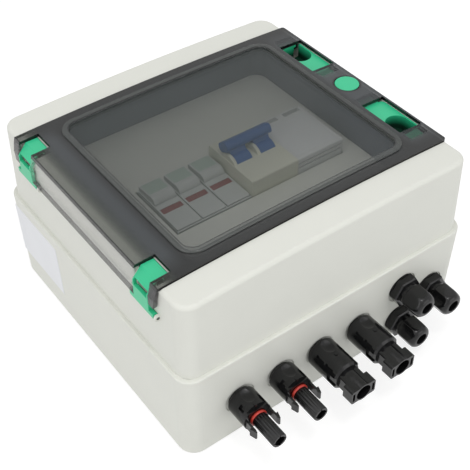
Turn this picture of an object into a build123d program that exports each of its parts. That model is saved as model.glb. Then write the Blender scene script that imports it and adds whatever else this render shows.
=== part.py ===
"""Weatherproof photovoltaic combiner box with a smoked door, modelled in millimetres.

The box lies on its back: the wall side is z = 0, the front faces +Z and the cable side faces -Y.
The origin is the centre of the back face. X runs along the cable side, hinges at low X.
"""
from build123d import *
import math
import os

# ---------------------------------------------------------------- enclosure
WIDTH = 215.0            # base rim along X
DEPTH = 208.0            # base rim along Y
RIM_Z = 69.5             # parting plane between base and lid
LID_EDGE_Z = 124.3       # lid top along its side edges
CROWN = 2.3              # rise of the arched front at its middle
CORNER_R = 11.0          # vertical corners
BASE_DRAFT = 1.1         # how much the base narrows to its back, each side
BASE_WALL = 3.0
FLOOR = 3.0
BACK_EDGE_R = 2.5
RIM_FLANGE_H = 6.0       # thickened band that carries the seal
RIM_FLANGE_W = 8.5
RIM_LEDGE = 2.5          # lid set back from the base rim, each side
RIM_EDGE_R = 1.0
LID_DRAFT = 1.2
LID_WALL = 2.8
LID_EDGE_R = 2.6
PLATE_GAP = 0.3          # clearance between parts that move past each other

# seal between base and lid
SEAL_W = 2.4
SEAL_H = 1.2
SEAL_GROOVE_D = 2.6
SEAL_INSET = 3.0
TONGUE_W = 1.6

# ---------------------------------------------------------------- door
DOOR_HALF_Y = DEPTH / 2 - 24.7
DOOR_PROUD = 1.5         # door top above the lid flanks
DOOR_T = 2.3
DOOR_RIGHT_X = WIDTH / 2 - 3.3
DOOR_LEFT_X = -WIDTH / 2 + 2.5     # where the top turns down over the hinge side
DOOR_CORNER_R = 2.0
DOOR_SIDE_GAP = 0.4
SKIRT_OUT_X = DOOR_LEFT_X - 2.2
SKIRT_T = 2.6
SKIRT_LEAN = 0.5         # how far the inner face leans in from knee to plate
SKIRT_KNEE_Z = 117.0
SKIRT_LOW_Z = 105.4
SKIRT_END_Z = 110.6      # lower end of the skirt outside the hinges
SKIRT_END_LEAN = 1.9
SKIRT_LEAN_Z = 122.0
BEAD_X = WIDTH / 2 - 26.5   # half size of the raised window bead
BEAD_Y = DOOR_HALF_Y - 7.3
BEAD_R = 12.0
BEAD_W = 4.5
BEAD_H = 1.3
BEAD_EDGE_R = 1.1
DECK_STEP = DOOR_T + PLATE_GAP - DOOR_PROUD    # door seat below the lid flanks

# door seal in the lid
DOOR_SEAL_W = 2.2
DOOR_SEAL_D = 1.4

# well and inner front behind the door
WELL_LOW_X = -WIDTH / 2 + 28.5
WELL_HIGH_X = WIDTH / 2 - 27.0
WELL_HALF_Y = DOOR_HALF_Y - 3.1
WELL_R = 9.5
WELL_DRAFT = 1.2
WELL_WALL = 2.0
FASCIA_Z = 101.0
FASCIA_T = 2.4

# hinges
HINGE_Y = DOOR_HALF_Y - 14.1   # centre of each hinge arm, either side
HINGE_ARM_W = 14.8
HINGE_FOOT_W = 23.0
HINGE_NOTCH_W = 15.6
HINGE_NOTCH_X = DOOR_LEFT_X + 13.0
HINGE_NOTCH_RIM = 1.8    # walls that the door hangs down beside each arm
HINGE_NOTCH_DEPTH = 5.0
HINGE_ARM_X = DOOR_LEFT_X + 11.9
HINGE_DROP = 1.9         # arm's flat top below the door's surface
HINGE_BEND_X = DOOR_LEFT_X + 4.0
HINGE_ARM_T = 2.2
HINGE_AXIS_X = DOOR_LEFT_X - 0.2
HINGE_AXIS_Z = 102.8
HINGE_BARREL_R = 2.0
HINGE_PIN_R = 1.0
HINGE_RUNNING = 0.05
HINGE_LUG_W = 1.6
HINGE_PEG_R = 0.75
HINGE_PEG_L = 1.4
HINGE_SLOT_LOW_Z = 113.5
HINGE_SLOT_HIGH_Z = 118.4
HINGE_SLOT_W = 13.0
HINGE_PEG_Z = 112.4
HINGE_BOSS_X = DOOR_LEFT_X + 16.4     # thick corner of the lid that the hinge pocket is sunk in
HINGE_BOSS_WALL = 1.8
HINGE_BOSS_LOW_Z = 108.0
HINGE_HOLLOW_D = 7.0     # blind hollow behind the arm's slot

# latches
LATCH_X = DOOR_RIGHT_X - 10.3   # centre line of both latches
LATCH_W = 17.6
LATCH_OPEN_W = 18.0
LATCH_OPEN_NEAR = 24.0   # door opening, distance from the middle
LATCH_OPEN_FAR = DOOR_HALF_Y - 20.3
LATCH_NEAR = 24.6        # block, distance from the middle when locked
LATCH_FAR = LATCH_OPEN_FAR - 0.4
LATCH_TRAVEL = 5.0
LATCH_TOP_GAP = 0.5
LATCH_DEPTH = 12.6
LATCH_CORNER_R = 3.0
SCOOP_R = 7.6
SCOOP_START = LATCH_FAR - 18.6
SCOOP_FLOOR_T = 3.0
STRIP_W = 11.0           # flat tails of the slider, held by the door
STRIP_T = 1.8
STRIP_NEAR = 15.6
STRIP_FAR = LATCH_FAR + 7.6
WEB_GAP = 0.2            # from the end of the door opening to the slider's web
WEB_T = 1.6
CLIP_T = 1.2
CLIP_LIP = 1.4
CLIP_LEN = 5.0
CLIP_GAP = 0.25
CLIP_END_GAP = 0.6
TONGUE_X = 8.0
TONGUE_T = 2.6
TONGUE_Z = 110.9
TONGUE_END = LATCH_FAR + 12.0
TUB_LOW_X = LATCH_X - 9.9
TUB_HIGH_X = LATCH_X + 9.0
TUB_NEAR = 10.2
TUB_FAR = STRIP_FAR + 0.8
TUB_FLOOR_Z = 108.0
TUB_WALL = 1.6
KEEPER_END = TONGUE_END + 1.0
KEEPER_GAP = 0.4

# blanking plug between the latches
PLUG_R = 8.0
PLUG_T = 1.4
PLUG_STEM_R = 5.0
PLUG_STEM_L = 3.4
PLUG_FIT = 0.1
PLUG_RING = 0.45         # groove round the plug's head

# lid screws
LID_SCREW_X = WIDTH / 2 - 20.0
LID_SCREW_Y = DOOR_HALF_Y - 4.0
LID_SCREW_R = 1.9
LID_SCREW_HEAD_R = 3.1
LID_SCREW_HEAD_H = 2.6
LID_SCREW_SEAT_Z = 112.0
LID_SCREW_BITE = 14.0
LID_POST_R = 5.0
BASE_POST_R = 5.6
RIB_T = 2.0

# wall fixing holes in the back
WALL_HOLE_X = WIDTH / 2 - 29.5
WALL_HOLE_Y = DEPTH / 2 - 24.0
WALL_HOLE_R = 2.75
WALL_BOSS_R = 6.0
WALL_BOSS_H = 3.0

# ---------------------------------------------------------------- devices
MODULE = 18.0
ROW_LOW_X = -59.3        # left end of the device row
ROW_Y = -6.5
SPD_COUNT = 3            # modules of each device
BREAKER_COUNT = 2
COMPANION_COUNT = 2
NOSE_H = 45.0            # front part of a rail device, along Y
BODY_H = 85.0            # full height of a rail device, along Y
DEVICE_GAP = 0.15
SHOULDER_Z = 97.6
SPD_FACE_Z = 102.8
BREAKER_FACE_Z = 112.5
SLOT_MARGIN = 0.6
RAIL_FRONT_Z = 54.0
RAIL_W = 35.0
RAIL_INNER_W = 27.0
RAIL_H = 7.5
RAIL_T = 1.0
RAIL_OVERHANG = 13.0
RAIL_POST_W = 12.0
RAIL_POST_H = 20.0
RAIL_SCREW_R = 2.0
RAIL_SCREW_HEAD_R = 3.6
RAIL_SCREW_HEAD_H = 2.0
RAIL_SCREW_L = 12.0
DEVICE_BACK_Z = 50.5
TERMINAL_R = 3.2
TERMINAL_DEPTH = 6.0
TERMINAL_INSET = 10.0

CARTRIDGE_W = 16.8
CARTRIDGE_FLOOR_Z = 78.0
CARTRIDGE_H = 43.0
CARTRIDGE_GAP = 0.2
FLAG_W = 14.6
FLAG_H = 4.8
FLAG_T = 0.8
FLAG_Y = -9.6
GRIP_RISE = 4.0          # raised grip of a cartridge above its face
GRIP_W = 15.2
GRIP_FOOT_Y = -2.9
GRIP_TOP_Y = 2.8
GRIP_EDGE = 0.8

SIDE_GROOVE_ZS = (108.3, 105.2)   # grooves along the lower side of the wide module
SIDE_GROOVE_W = 0.9
SIDE_GROOVE_D = 0.8
TOP_SLOT_L = 13.0        # label slots in its face
TOP_SLOT_W = 3.4
TOP_SLOT_D = 4.0
TOP_SLOT_INSET = 3.6

TOGGLE_AXIS_Y = -4.5
TOGGLE_AXIS_Z = 108.8
TOGGLE_R = 6.5
TOGGLE_W = 11.6
TOGGLE_SWING = 62.0
LEVER_L = 8.0
LEVER_T = 5.0
TIE_W = 9.5
TIE_T = 6.5
TIE_EDGE_R = 2.8
TIE_OVERHANG = 2.2
GUARD_R = 7.5            # arched guard beside each toggle
GUARD_T = 2.2
TOGGLE_PIN_R = 1.2
TOGGLE_CLEAR = 0.35

# earth bar on the floor of the base
EARTH_Y = 66.0
EARTH_L = 64.0
EARTH_W = 8.0
EARTH_T = 8.0
EARTH_Z = 12.0
EARTH_COUNT = 6
EARTH_HOLE_R = 2.1
EARTH_SCREW_R = 1.8

# ---------------------------------------------------------------- cable side
SEAT_Y = -DEPTH / 2 + 1.4          # flat spot faces for the connectors and glands
CONNECTOR_Z = 33.0
CONNECTOR_PLACES = (-0.3256, -0.186, -0.0465, 0.0977)   # parts of the width
CONNECTOR_XS = tuple(place * WIDTH for place in CONNECTOR_PLACES)
THREAD_R = 6.0           # connector thread through the wall
HOLE_CLEAR = 0.25
WASHER_T = 1.2
LOCK_NUT_AF = 17.0
LOCK_NUT_T = 4.0
MALE_BODY_R = 9.6
MALE_BODY_L = 16.6
MALE_SHOULDER_L = 1.6
SEAL_RING_R = 5.7
SEAL_RING_T = 2.0
SEAL_RING_EDGE = 0.4
TUBE_R = 4.6
TUBE_ROOT_R = 4.8        # root of the tube, inside the seal ring
TUBE_BORE_R = 3.4
TUBE_SLIT_D = 2.5        # cross slits at the tip of the tube
MALE_TOTAL = 37.2
MALE_BACK_R = 2.0        # rounded back edge against the wall
MALE_FRONT_H = 13.6      # flat-sided front, along Z
DIMPLE_R = 11.0          # hollow on the upper and lower side
DIMPLE_D = 1.3
DIMPLE_PLACE = 0.42      # middle of the hollow, part of the body's length
DOT_R = 1.3
DOT_H = 0.5
WINDOW_TURN = 46.0       # small side windows, degrees from the top
WINDOW_W = 3.0
WINDOW_L = 4.4
WINDOW_D = 1.8
WINDOW_PLACE = 0.66
ARM_T = 1.3
ARM_H = 6.0
ARM_OFFSET = 7.4
ARM_END = 26.6
BARB_OUT = 1.3
BARB_L = 4.2
PIN_CONTACT_R = 1.7
FEMALE_BODY_R = 10.1
FEMALE_BODY_L = 25.4
FEMALE_NECK_W = 13.8
FEMALE_NECK_H = 10.6
FEMALE_NECK_R = 6.3      # round core of the neck and of the block
FEMALE_NECK_END = 32.6
FEMALE_BLOCK_W = 18.4
FEMALE_TOTAL = 39.8
FEMALE_BORE_R = 5.3
FEMALE_BORE_D = 24.0
FEMALE_MOUTH_D = 8.0     # straight mouth before the bore narrows
FEMALE_INNER_R = 5.1
SIDE_SLOT_W = 1.7
SIDE_SLOT_H = 6.6
DASH_TURN = 52.0         # long side slots, degrees from the top
DASH_STARTS = (6.5, 14.5)
DASH_L = 6.6
DASH_W = 1.7
DASH_D = 1.5
NOTCH_L = 7.0            # hollow sides at the front of the round body
NOTCH_D = 1.6
SOCKET_R = 2.6
SOCKET_BORE_R = 1.8

GLAND_PLACES = ((0.2628, 45.8), (0.2642, 16.8), (0.3823, 31.0))   # part of the width, Z
GLANDS = tuple((place * WIDTH, z) for place, z in GLAND_PLACES)
GLAND_AF = 19.0
GLAND_FLANGE_T = 5.6
GLAND_THREAD_R = 7.6
GLAND_NECK_R = 7.2
GLAND_NECK_END = 15.0
GLAND_BORE_R = 4.6
GLAND_SEAL_R = 6.2
CABLE_R = 4.0
DOME_AF = 18.2
DOME_START = 7.4
DOME_HEX_END = 15.4
DOME_END = 24.2
DOME_TIP_R = 5.4
DOME_MOUTH_R = 4.5
GLAND_INSIDE = 9.0

LABEL_HIGH_Y = DEPTH / 2 - 8.0
LABEL_LOW_Y = LABEL_HIGH_Y - 55.0
LABEL_LOW_Z = 20.0
LABEL_HIGH_Z = 61.0
LABEL_T = 0.2

TINY = 0.05


# ---------------------------------------------------------------- helpers
def box_between(x, y, z):
    """Axis-aligned box from three (low, high) pairs."""
    size = [high - low for low, high in (x, y, z)]
    middle = [(high + low) / 2 for low, high in (x, y, z)]
    return Pos(*middle) * Box(*size)


def tapered_block(low_size, low_z, high_size, high_z, radius, centre=(0.0, 0.0)):
    """Rounded block whose outline changes evenly from one height to the other."""
    lower = Pos(*centre, low_z) * RectangleRounded(*low_size, radius)
    upper = Pos(*centre, high_z) * RectangleRounded(*high_size, radius)
    return loft([lower.face(), upper.face()])


def rounded_prism(width, height, radius, low_z, high_z, centre=(0.0, 0.0)):
    """Straight rounded block along Z."""
    outline = Pos(*centre, low_z) * RectangleRounded(width, height, radius)
    return extrude(outline, amount=high_z - low_z)


def xz_prism(points, low_y, high_y):
    """Polygon in the XZ plane carried along Y."""
    outline = Plane.XZ * make_face(Polyline(*points, close=True))
    return Pos(0, low_y, 0) * extrude(outline, amount=-(high_y - low_y))


def yz_prism(points, low_x, high_x):
    """Polygon in the YZ plane carried along X."""
    outline = Plane.YZ * make_face(Polyline(*points, close=True))
    return Pos(low_x, 0, 0) * extrude(outline, amount=high_x - low_x)


def rod_y(radius, near_y, far_y, x, z):
    """Round bar along Y."""
    return Pos(x, (near_y + far_y) / 2, z) * Rot(90, 0, 0) * Cylinder(radius, far_y - near_y)


def rod_z(radius, low_z, high_z, x, y):
    """Round bar along Z."""
    return Pos(x, y, (low_z + high_z) / 2) * Cylinder(radius, high_z - low_z)


def outward(x, z, distance, piece):
    """Places a piece modelled along +Z from zero so that it points out of the cable side."""
    return Pos(x, SEAT_Y - distance, z) * Rot(90, 0, 0) * piece


def hexagon(across_flats, length):
    """Hexagonal bar along +Z from zero, flats top and bottom."""
    return extrude(RegularPolygon(across_flats / 2, 6, major_radius=False), amount=length)


def crown_z(x):
    """Rise of the arched front above the side edges."""
    half = WIDTH / 2
    return CROWN * (1 - (x / half) ** 2)


def arched_slab(low_x, high_x, half_y, low_z, edge_z):
    """Block with a flat underside and an arched top that meets edge_z at the sides."""
    middle = (low_x + high_x) / 2
    arch = ThreePointArc(
        (low_x, edge_z + crown_z(low_x)),
        (middle, edge_z + crown_z(middle)),
        (high_x, edge_z + crown_z(high_x)),
    )
    rest = Polyline(
        (high_x, edge_z + crown_z(high_x)), (high_x, low_z), (low_x, low_z), (low_x, edge_z + crown_z(low_x))
    )
    outline = Plane.XZ * make_face([arch, rest])
    return extrude(outline, amount=half_y, both=True)


def edges_at(solid, z, tolerance=0.01):
    """Edges that lie wholly in one level plane."""
    return [e for e in solid.edges() if abs(e.bounding_box().min.Z - z) < tolerance
            and abs(e.bounding_box().max.Z - z) < tolerance]


def base_half_depth(z):
    """Distance from the middle plane to the outside of the cable wall at a height."""
    return DEPTH / 2 - BASE_DRAFT * (1 - z / RIM_Z)


# ---------------------------------------------------------------- enclosure pieces
def base_housing():
    """Moulded base: drafted shell, sealed rim, posts, rail posts, fixing holes and cable holes."""
    back = (WIDTH - 2 * BASE_DRAFT, DEPTH - 2 * BASE_DRAFT)
    shell = tapered_block(back, 0, (WIDTH, DEPTH), RIM_Z, CORNER_R)
    shell = fillet(edges_at(shell, 0), BACK_EDGE_R)
    shell = fillet(edges_at(shell, RIM_Z), RIM_EDGE_R)
    cavity_low = (back[0] - 2 * BASE_WALL, back[1] - 2 * BASE_WALL)
    cavity_high = (WIDTH - 2 * BASE_WALL, DEPTH - 2 * BASE_WALL)
    flange_z = RIM_Z - RIM_FLANGE_H
    shell -= tapered_block(cavity_low, FLOOR, cavity_high, flange_z, CORNER_R - BASE_WALL)
    mouth = (WIDTH - 2 * RIM_FLANGE_W, DEPTH - 2 * RIM_FLANGE_W)
    shell -= rounded_prism(*mouth, CORNER_R - RIM_FLANGE_W / 2, flange_z - TINY, RIM_Z + TINY)
    shell += base_posts()
    shell -= seal_ring(SEAL_INSET, SEAL_W, RIM_Z - SEAL_GROOVE_D, RIM_Z + TINY)
    for x, y in corners(LID_SCREW_X, LID_SCREW_Y):
        shell -= rod_z(LID_SCREW_R, RIM_Z - LID_SCREW_BITE - 2, RIM_Z + TINY, x, y)
    for x, y in corners(WALL_HOLE_X, WALL_HOLE_Y):
        shell -= rod_z(WALL_HOLE_R, -TINY, FLOOR + WALL_BOSS_H + TINY, x, y)
    for x in rail_screw_xs():
        top = RAIL_FRONT_Z - RAIL_H
        shell -= rod_z(RAIL_SCREW_R, top - RAIL_SCREW_L, top + TINY, x, ROW_Y)
    for x in earth_post_xs():
        shell -= rod_z(EARTH_SCREW_R, FLOOR + 1, EARTH_Z + TINY, x, EARTH_Y)
    inside = SEAT_Y + BASE_WALL + BASE_DRAFT + 1
    for x in CONNECTOR_XS:
        shell -= rod_y(THREAD_R + HOLE_CLEAR, -DEPTH, inside, x, CONNECTOR_Z)
        shell -= rod_y(FEMALE_BODY_R + HOLE_CLEAR, -DEPTH, SEAT_Y, x, CONNECTOR_Z)
    for x, z in GLANDS:
        shell -= rod_y(GLAND_THREAD_R + HOLE_CLEAR, -DEPTH, inside, x, z)
        shell -= rod_y(GLAND_AF / math.sqrt(3) + HOLE_CLEAR, -DEPTH, SEAT_Y, x, z)
    return shell


def base_posts():
    """Posts, bosses and pads that stand on the floor of the base."""
    posts = [rod_z(WALL_BOSS_R, FLOOR - TINY, FLOOR + WALL_BOSS_H, x, y) for x, y in corners(WALL_HOLE_X, WALL_HOLE_Y)]
    posts += [rod_z(BASE_POST_R, FLOOR - TINY, RIM_Z, x, y) for x, y in corners(LID_SCREW_X, LID_SCREW_Y)]
    top = RAIL_FRONT_Z - RAIL_H
    for x in rail_screw_xs():
        low = (x - RAIL_POST_W / 2, x + RAIL_POST_W / 2)
        across = (ROW_Y - RAIL_POST_H / 2, ROW_Y + RAIL_POST_H / 2)
        posts.append(box_between(low, across, (FLOOR - TINY, top)))
    for x in earth_post_xs():
        posts.append(rod_z(EARTH_W / 2, FLOOR - TINY, EARTH_Z, x, EARTH_Y))
    for sign_x, sign_y in ((1, 1), (1, -1), (-1, 1), (-1, -1)):
        wall = sign_x * (WIDTH / 2 - BASE_WALL)
        rib_x = tuple(sorted((sign_x * LID_SCREW_X, wall)))
        rib_y = (sign_y * LID_SCREW_Y - RIB_T / 2, sign_y * LID_SCREW_Y + RIB_T / 2)
        posts.append(box_between(rib_x, rib_y, (FLOOR - TINY, RIM_Z - RIM_FLANGE_H + TINY)))
    return posts


def corners(x, y):
    """The four mirrored places of one point."""
    return [(sx * x, sy * y) for sx in (-1, 1) for sy in (-1, 1)]


def seal_ring(inset, width, low_z, high_z):
    """Rounded rectangular ring that follows the rim at an inset from the base outline."""
    outer = rounded_prism(WIDTH - 2 * inset, DEPTH - 2 * inset, CORNER_R - inset, low_z, high_z)
    reach = inset + width
    inner = rounded_prism(WIDTH - 2 * reach, DEPTH - 2 * reach, CORNER_R - reach, low_z - 1, high_z + 1)
    return outer - inner


def lid_gasket():
    """Foam cord pressed in the rim groove under the lid's tongue."""
    low = RIM_Z - SEAL_GROOVE_D
    return seal_ring(SEAL_INSET + TINY, SEAL_W - 2 * TINY, low, low + SEAL_H)


def lid_size(z):
    """Outline of the lid at a height."""
    inset = RIM_LEDGE + LID_DRAFT * (z - RIM_Z) / (LID_EDGE_Z - RIM_Z)
    return WIDTH - 2 * inset, DEPTH - 2 * inset


def lid_cover():
    """Moulded lid: arched shell with door seat, well, inner front, latch tubs and hinge lugs."""
    peak = LID_EDGE_Z + CROWN + 1
    shell = tapered_block(lid_size(RIM_Z), RIM_Z, lid_size(peak), peak, CORNER_R - 1)
    shell &= arched_slab(-WIDTH, WIDTH, DEPTH, 0, LID_EDGE_Z)
    crest = [e for e in shell.edges() if e.bounding_box().min.Z > LID_EDGE_Z - 1]
    shell = fillet(crest, LID_EDGE_R)
    ceiling_edge = LID_EDGE_Z - DECK_STEP - LID_WALL
    inner_low = [s - 2 * LID_WALL for s in lid_size(RIM_Z)]
    inner_high = [s - 2 * LID_WALL for s in lid_size(peak)]
    hollow = tapered_block(inner_low, RIM_Z - TINY, inner_high, peak, CORNER_R - LID_WALL)
    hollow &= arched_slab(-WIDTH, WIDTH, DEPTH, 0, ceiling_edge)
    shell -= hollow
    shell += lid_inner_parts(ceiling_edge)
    shell += seal_ring(SEAL_INSET + (SEAL_W - TONGUE_W) / 2, TONGUE_W, tongue_low_z(), RIM_Z + 1)
    shell -= lid_cuts()
    shell += hinge_lugs()
    for side in (-1, 1):
        shell -= rod_y(HINGE_BARREL_R + PLATE_GAP, *foot_span(side, PLATE_GAP), HINGE_AXIS_X, HINGE_AXIS_Z)
        low, high = lug_span(side)
        shell -= rod_y(HINGE_PIN_R + TINY / 2, low, high, HINGE_AXIS_X, HINGE_AXIS_Z)
    return shell


def tongue_low_z():
    """Lower end of the lid's sealing tongue, resting on the gasket."""
    return RIM_Z - SEAL_GROOVE_D + SEAL_H


def lid_inner_parts(ceiling_edge):
    """Well, inner front, screw posts and latch tubs, joined under the lid's deck."""
    well_x = WELL_HIGH_X - WELL_LOW_X
    centre = ((WELL_HIGH_X + WELL_LOW_X) / 2, 0)
    low = (well_x - 2 * WELL_DRAFT + 2 * WELL_WALL, 2 * (WELL_HALF_Y - WELL_DRAFT + WELL_WALL))
    high = (well_x + 2 * WELL_WALL, 2 * (WELL_HALF_Y + WELL_WALL))
    top = ceiling_edge + CROWN
    well = tapered_block(low, FASCIA_Z - FASCIA_T, high, top, WELL_R + WELL_WALL, centre)
    deck_cap = arched_slab(-WIDTH, WIDTH, DEPTH, 0, LID_EDGE_Z - DECK_STEP)
    parts = [well & deck_cap]
    for x, y in corners(LID_SCREW_X, LID_SCREW_Y):
        parts.append(rod_z(LID_POST_R, RIM_Z, peak_under_deck(x), x, y))
    for side in (-1, 1):
        parts.append(latch_tub(side))
        parts.append(hinge_boss(side))
    return parts


def peak_under_deck(x):
    """Height just inside the deck plate at a place along X."""
    return LID_EDGE_Z - DECK_STEP - LID_WALL / 2 + crown_z(x)


def latch_tub(side):
    """Outside of one latch pocket, with the thick end wall that keeps the tongue."""
    near, far = TUB_NEAR - TUB_WALL, KEEPER_END + TUB_WALL
    y = tuple(sorted((side * near, side * far)))
    x = (TUB_LOW_X - TUB_WALL, TUB_HIGH_X)
    return box_between(x, y, (TUB_FLOOR_Z - TUB_WALL, peak_under_deck(TUB_HIGH_X)))


def lid_cuts():
    """Everything taken out of the lid after its ribs and tubs are joined."""
    seat = box_between((-WIDTH, WIDTH), (-door_seat_half(), door_seat_half()), (RIM_Z, 2 * LID_EDGE_Z))
    cuts = [seat - arched_slab(-WIDTH - 1, WIDTH + 1, DEPTH, 0, LID_EDGE_Z - DECK_STEP)]
    centre = ((WELL_HIGH_X + WELL_LOW_X) / 2, 0)
    well_x = WELL_HIGH_X - WELL_LOW_X
    low = (well_x - 2 * WELL_DRAFT, 2 * (WELL_HALF_Y - WELL_DRAFT))
    high = (well_x, 2 * WELL_HALF_Y)
    cuts.append(tapered_block(low, FASCIA_Z, high, LID_EDGE_Z + CROWN + 1, WELL_R, centre))
    slot_x = (ROW_LOW_X - SLOT_MARGIN, row_high_x() + SLOT_MARGIN)
    slot_y = (ROW_Y - NOSE_H / 2 - SLOT_MARGIN, ROW_Y + NOSE_H / 2 + SLOT_MARGIN)
    cuts.append(box_between(slot_x, slot_y, (FASCIA_Z - FASCIA_T - 1, FASCIA_Z + 1)))
    cuts.append(door_seal_ring(DOOR_SEAL_D))
    for x, y in corners(LID_SCREW_X, LID_SCREW_Y):
        cuts.append(rod_z(LID_SCREW_HEAD_R + 0.3, LID_SCREW_SEAT_Z, 2 * LID_EDGE_Z, x, y))
        cuts.append(rod_z(LID_SCREW_R + 0.4, RIM_Z - 1, LID_SCREW_SEAT_Z + 1, x, y))
    for side in (-1, 1):
        y = tuple(sorted((side * TUB_NEAR, side * TUB_FAR)))
        cuts.append(box_between((TUB_LOW_X, TUB_HIGH_X), y, (TUB_FLOOR_Z, 2 * LID_EDGE_Z)))
        keeper_y = tuple(sorted((side * (TUB_FAR - 1), side * KEEPER_END)))
        keeper_x = (LATCH_X - TONGUE_X / 2 - KEEPER_GAP, LATCH_X + TONGUE_X / 2 + KEEPER_GAP)
        keeper_z = (TONGUE_Z - KEEPER_GAP, TONGUE_Z + TONGUE_T + KEEPER_GAP)
        cuts.append(box_between(keeper_x, keeper_y, keeper_z))
        cuts.append(hinge_pocket(side))
    plug_low = door_top_z(LATCH_X) - PLUG_STEM_L - 2 * PLATE_GAP - PLUG_T
    cuts.append(rod_z(PLUG_STEM_R + 1, plug_low, 2 * LID_EDGE_Z, LATCH_X, 0))
    return cuts


def door_seat_half():
    """Half width of the step that the door lies in."""
    return DOOR_HALF_Y + DOOR_SIDE_GAP


def door_top_z(x):
    """Outer surface of the door border at a place along X."""
    return LID_EDGE_Z + DOOR_PROUD + crown_z(x)


def row_high_x():
    """Right end of the device row."""
    return ROW_LOW_X + MODULE * (SPD_COUNT + BREAKER_COUNT + COMPANION_COUNT)


def hinge_pocket(side):
    """Notch in the lid's hinge edge where one arm passes over it, with the blind hollow behind the arm's slot."""
    half = HINGE_NOTCH_W / 2 + HINGE_NOTCH_RIM + 2 * PLATE_GAP
    low, high = side * HINGE_Y - half, side * HINGE_Y + half
    top = 2 * LID_EDGE_Z
    seat = door_top_z(HINGE_BEND_X) - HINGE_NOTCH_DEPTH - 2 * PLATE_GAP
    wall = SKIRT_OUT_X + HINGE_ARM_T + 2 * PLATE_GAP
    end = HINGE_ARM_X + 2 * PLATE_GAP
    points = [(end, top), (end, seat), (HINGE_BEND_X, seat), (wall, SKIRT_KNEE_Z - 2 * PLATE_GAP), (wall, SKIRT_LOW_Z),
              (SKIRT_OUT_X - 2, SKIRT_LOW_Z), (SKIRT_OUT_X - 2, top)]
    pocket = xz_prism(points, low, high)
    slot = (side * HINGE_Y - HINGE_SLOT_W / 2, side * HINGE_Y + HINGE_SLOT_W / 2)
    hollow_z = (HINGE_SLOT_LOW_Z - 1, HINGE_SLOT_HIGH_Z + 1)
    return pocket + box_between((wall - 1, wall + HINGE_HOLLOW_D), slot, hollow_z)


def hinge_boss(side):
    """Thick corner under the lid's deck that the hinge pocket is sunk in."""
    half = HINGE_NOTCH_W / 2 + HINGE_NOTCH_RIM + 2 * PLATE_GAP + HINGE_BOSS_WALL
    y = (side * HINGE_Y - half, side * HINGE_Y + half)
    x = (-lid_size(LID_EDGE_Z)[0] / 2 + LID_WALL / 2, HINGE_BOSS_X)
    return box_between(x, y, (HINGE_BOSS_LOW_Z, peak_under_deck(x[0])))


def foot_span(side, gap=0.0):
    """Low and high Y of one hinge barrel, with a gap at both ends."""
    half = HINGE_FOOT_W / 2 + gap
    return side * HINGE_Y - half, side * HINGE_Y + half


def lug_span(side):
    """Low and high Y over both lugs of one hinge."""
    low, high = foot_span(side, PLATE_GAP)
    return low - HINGE_LUG_W, high + HINGE_LUG_W


def hinge_lugs():
    """Rounded lugs on the lid's side wall that hold the ends of the hinge pins."""
    lugs = []
    root_x = -lid_size(HINGE_AXIS_Z)[0] / 2 + 1
    for side in (-1, 1):
        inner_low, inner_high = foot_span(side, PLATE_GAP)
        low, high = lug_span(side)
        for near, far in ((low, inner_low), (inner_high, high)):
            nose = rod_y(HINGE_BARREL_R, near, far, HINGE_AXIS_X, HINGE_AXIS_Z)
            z = (HINGE_AXIS_Z - HINGE_BARREL_R, HINGE_AXIS_Z + HINGE_BARREL_R)
            root = box_between((HINGE_AXIS_X, root_x), (near, far), z)
            lugs += [nose, root]
    return lugs


def door_seal_ring(depth):
    """Arched ring round the well, sunk into the deck by a depth."""
    inset = (door_seat_half() - WELL_HALF_Y - DOOR_SEAL_W) / 2
    centre = ((WELL_HIGH_X + WELL_LOW_X) / 2, 0)
    inner_x = WELL_HIGH_X - WELL_LOW_X + 2 * inset
    inner_y = 2 * (WELL_HALF_Y + inset)
    low, high = LID_EDGE_Z - DECK_STEP - depth - 1, LID_EDGE_Z + CROWN
    outer = rounded_prism(inner_x + 2 * DOOR_SEAL_W, inner_y + 2 * DOOR_SEAL_W, WELL_R + inset + DOOR_SEAL_W,
                          low, high, centre)
    inner = rounded_prism(inner_x, inner_y, WELL_R + inset, low - 1, high + 1, centre)
    ring = (outer - inner) & arched_slab(-WIDTH, WIDTH, DEPTH, 0, LID_EDGE_Z - DECK_STEP)
    return ring - arched_slab(-WIDTH - 1, WIDTH + 1, DEPTH + 1, -1, LID_EDGE_Z - DECK_STEP - depth)


def lid_screws():
    """Four long screws from the lid's deck into the base posts."""
    screws = []
    for x, y in corners(LID_SCREW_X, LID_SCREW_Y):
        screw = rod_z(LID_SCREW_R, RIM_Z - LID_SCREW_BITE, LID_SCREW_SEAT_Z, x, y)
        screw += rod_z(LID_SCREW_HEAD_R, LID_SCREW_SEAT_Z, LID_SCREW_SEAT_Z + LID_SCREW_HEAD_H, x, y)
        for turn in (0, 90):
            slot = Box(LID_SCREW_HEAD_R * 1.2, 0.9, 1.2)
            screw -= Pos(x, y, LID_SCREW_SEAT_Z + LID_SCREW_HEAD_H) * Rot(0, 0, turn) * slot
        screws.append(screw)
    return Compound(children=screws)


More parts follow.
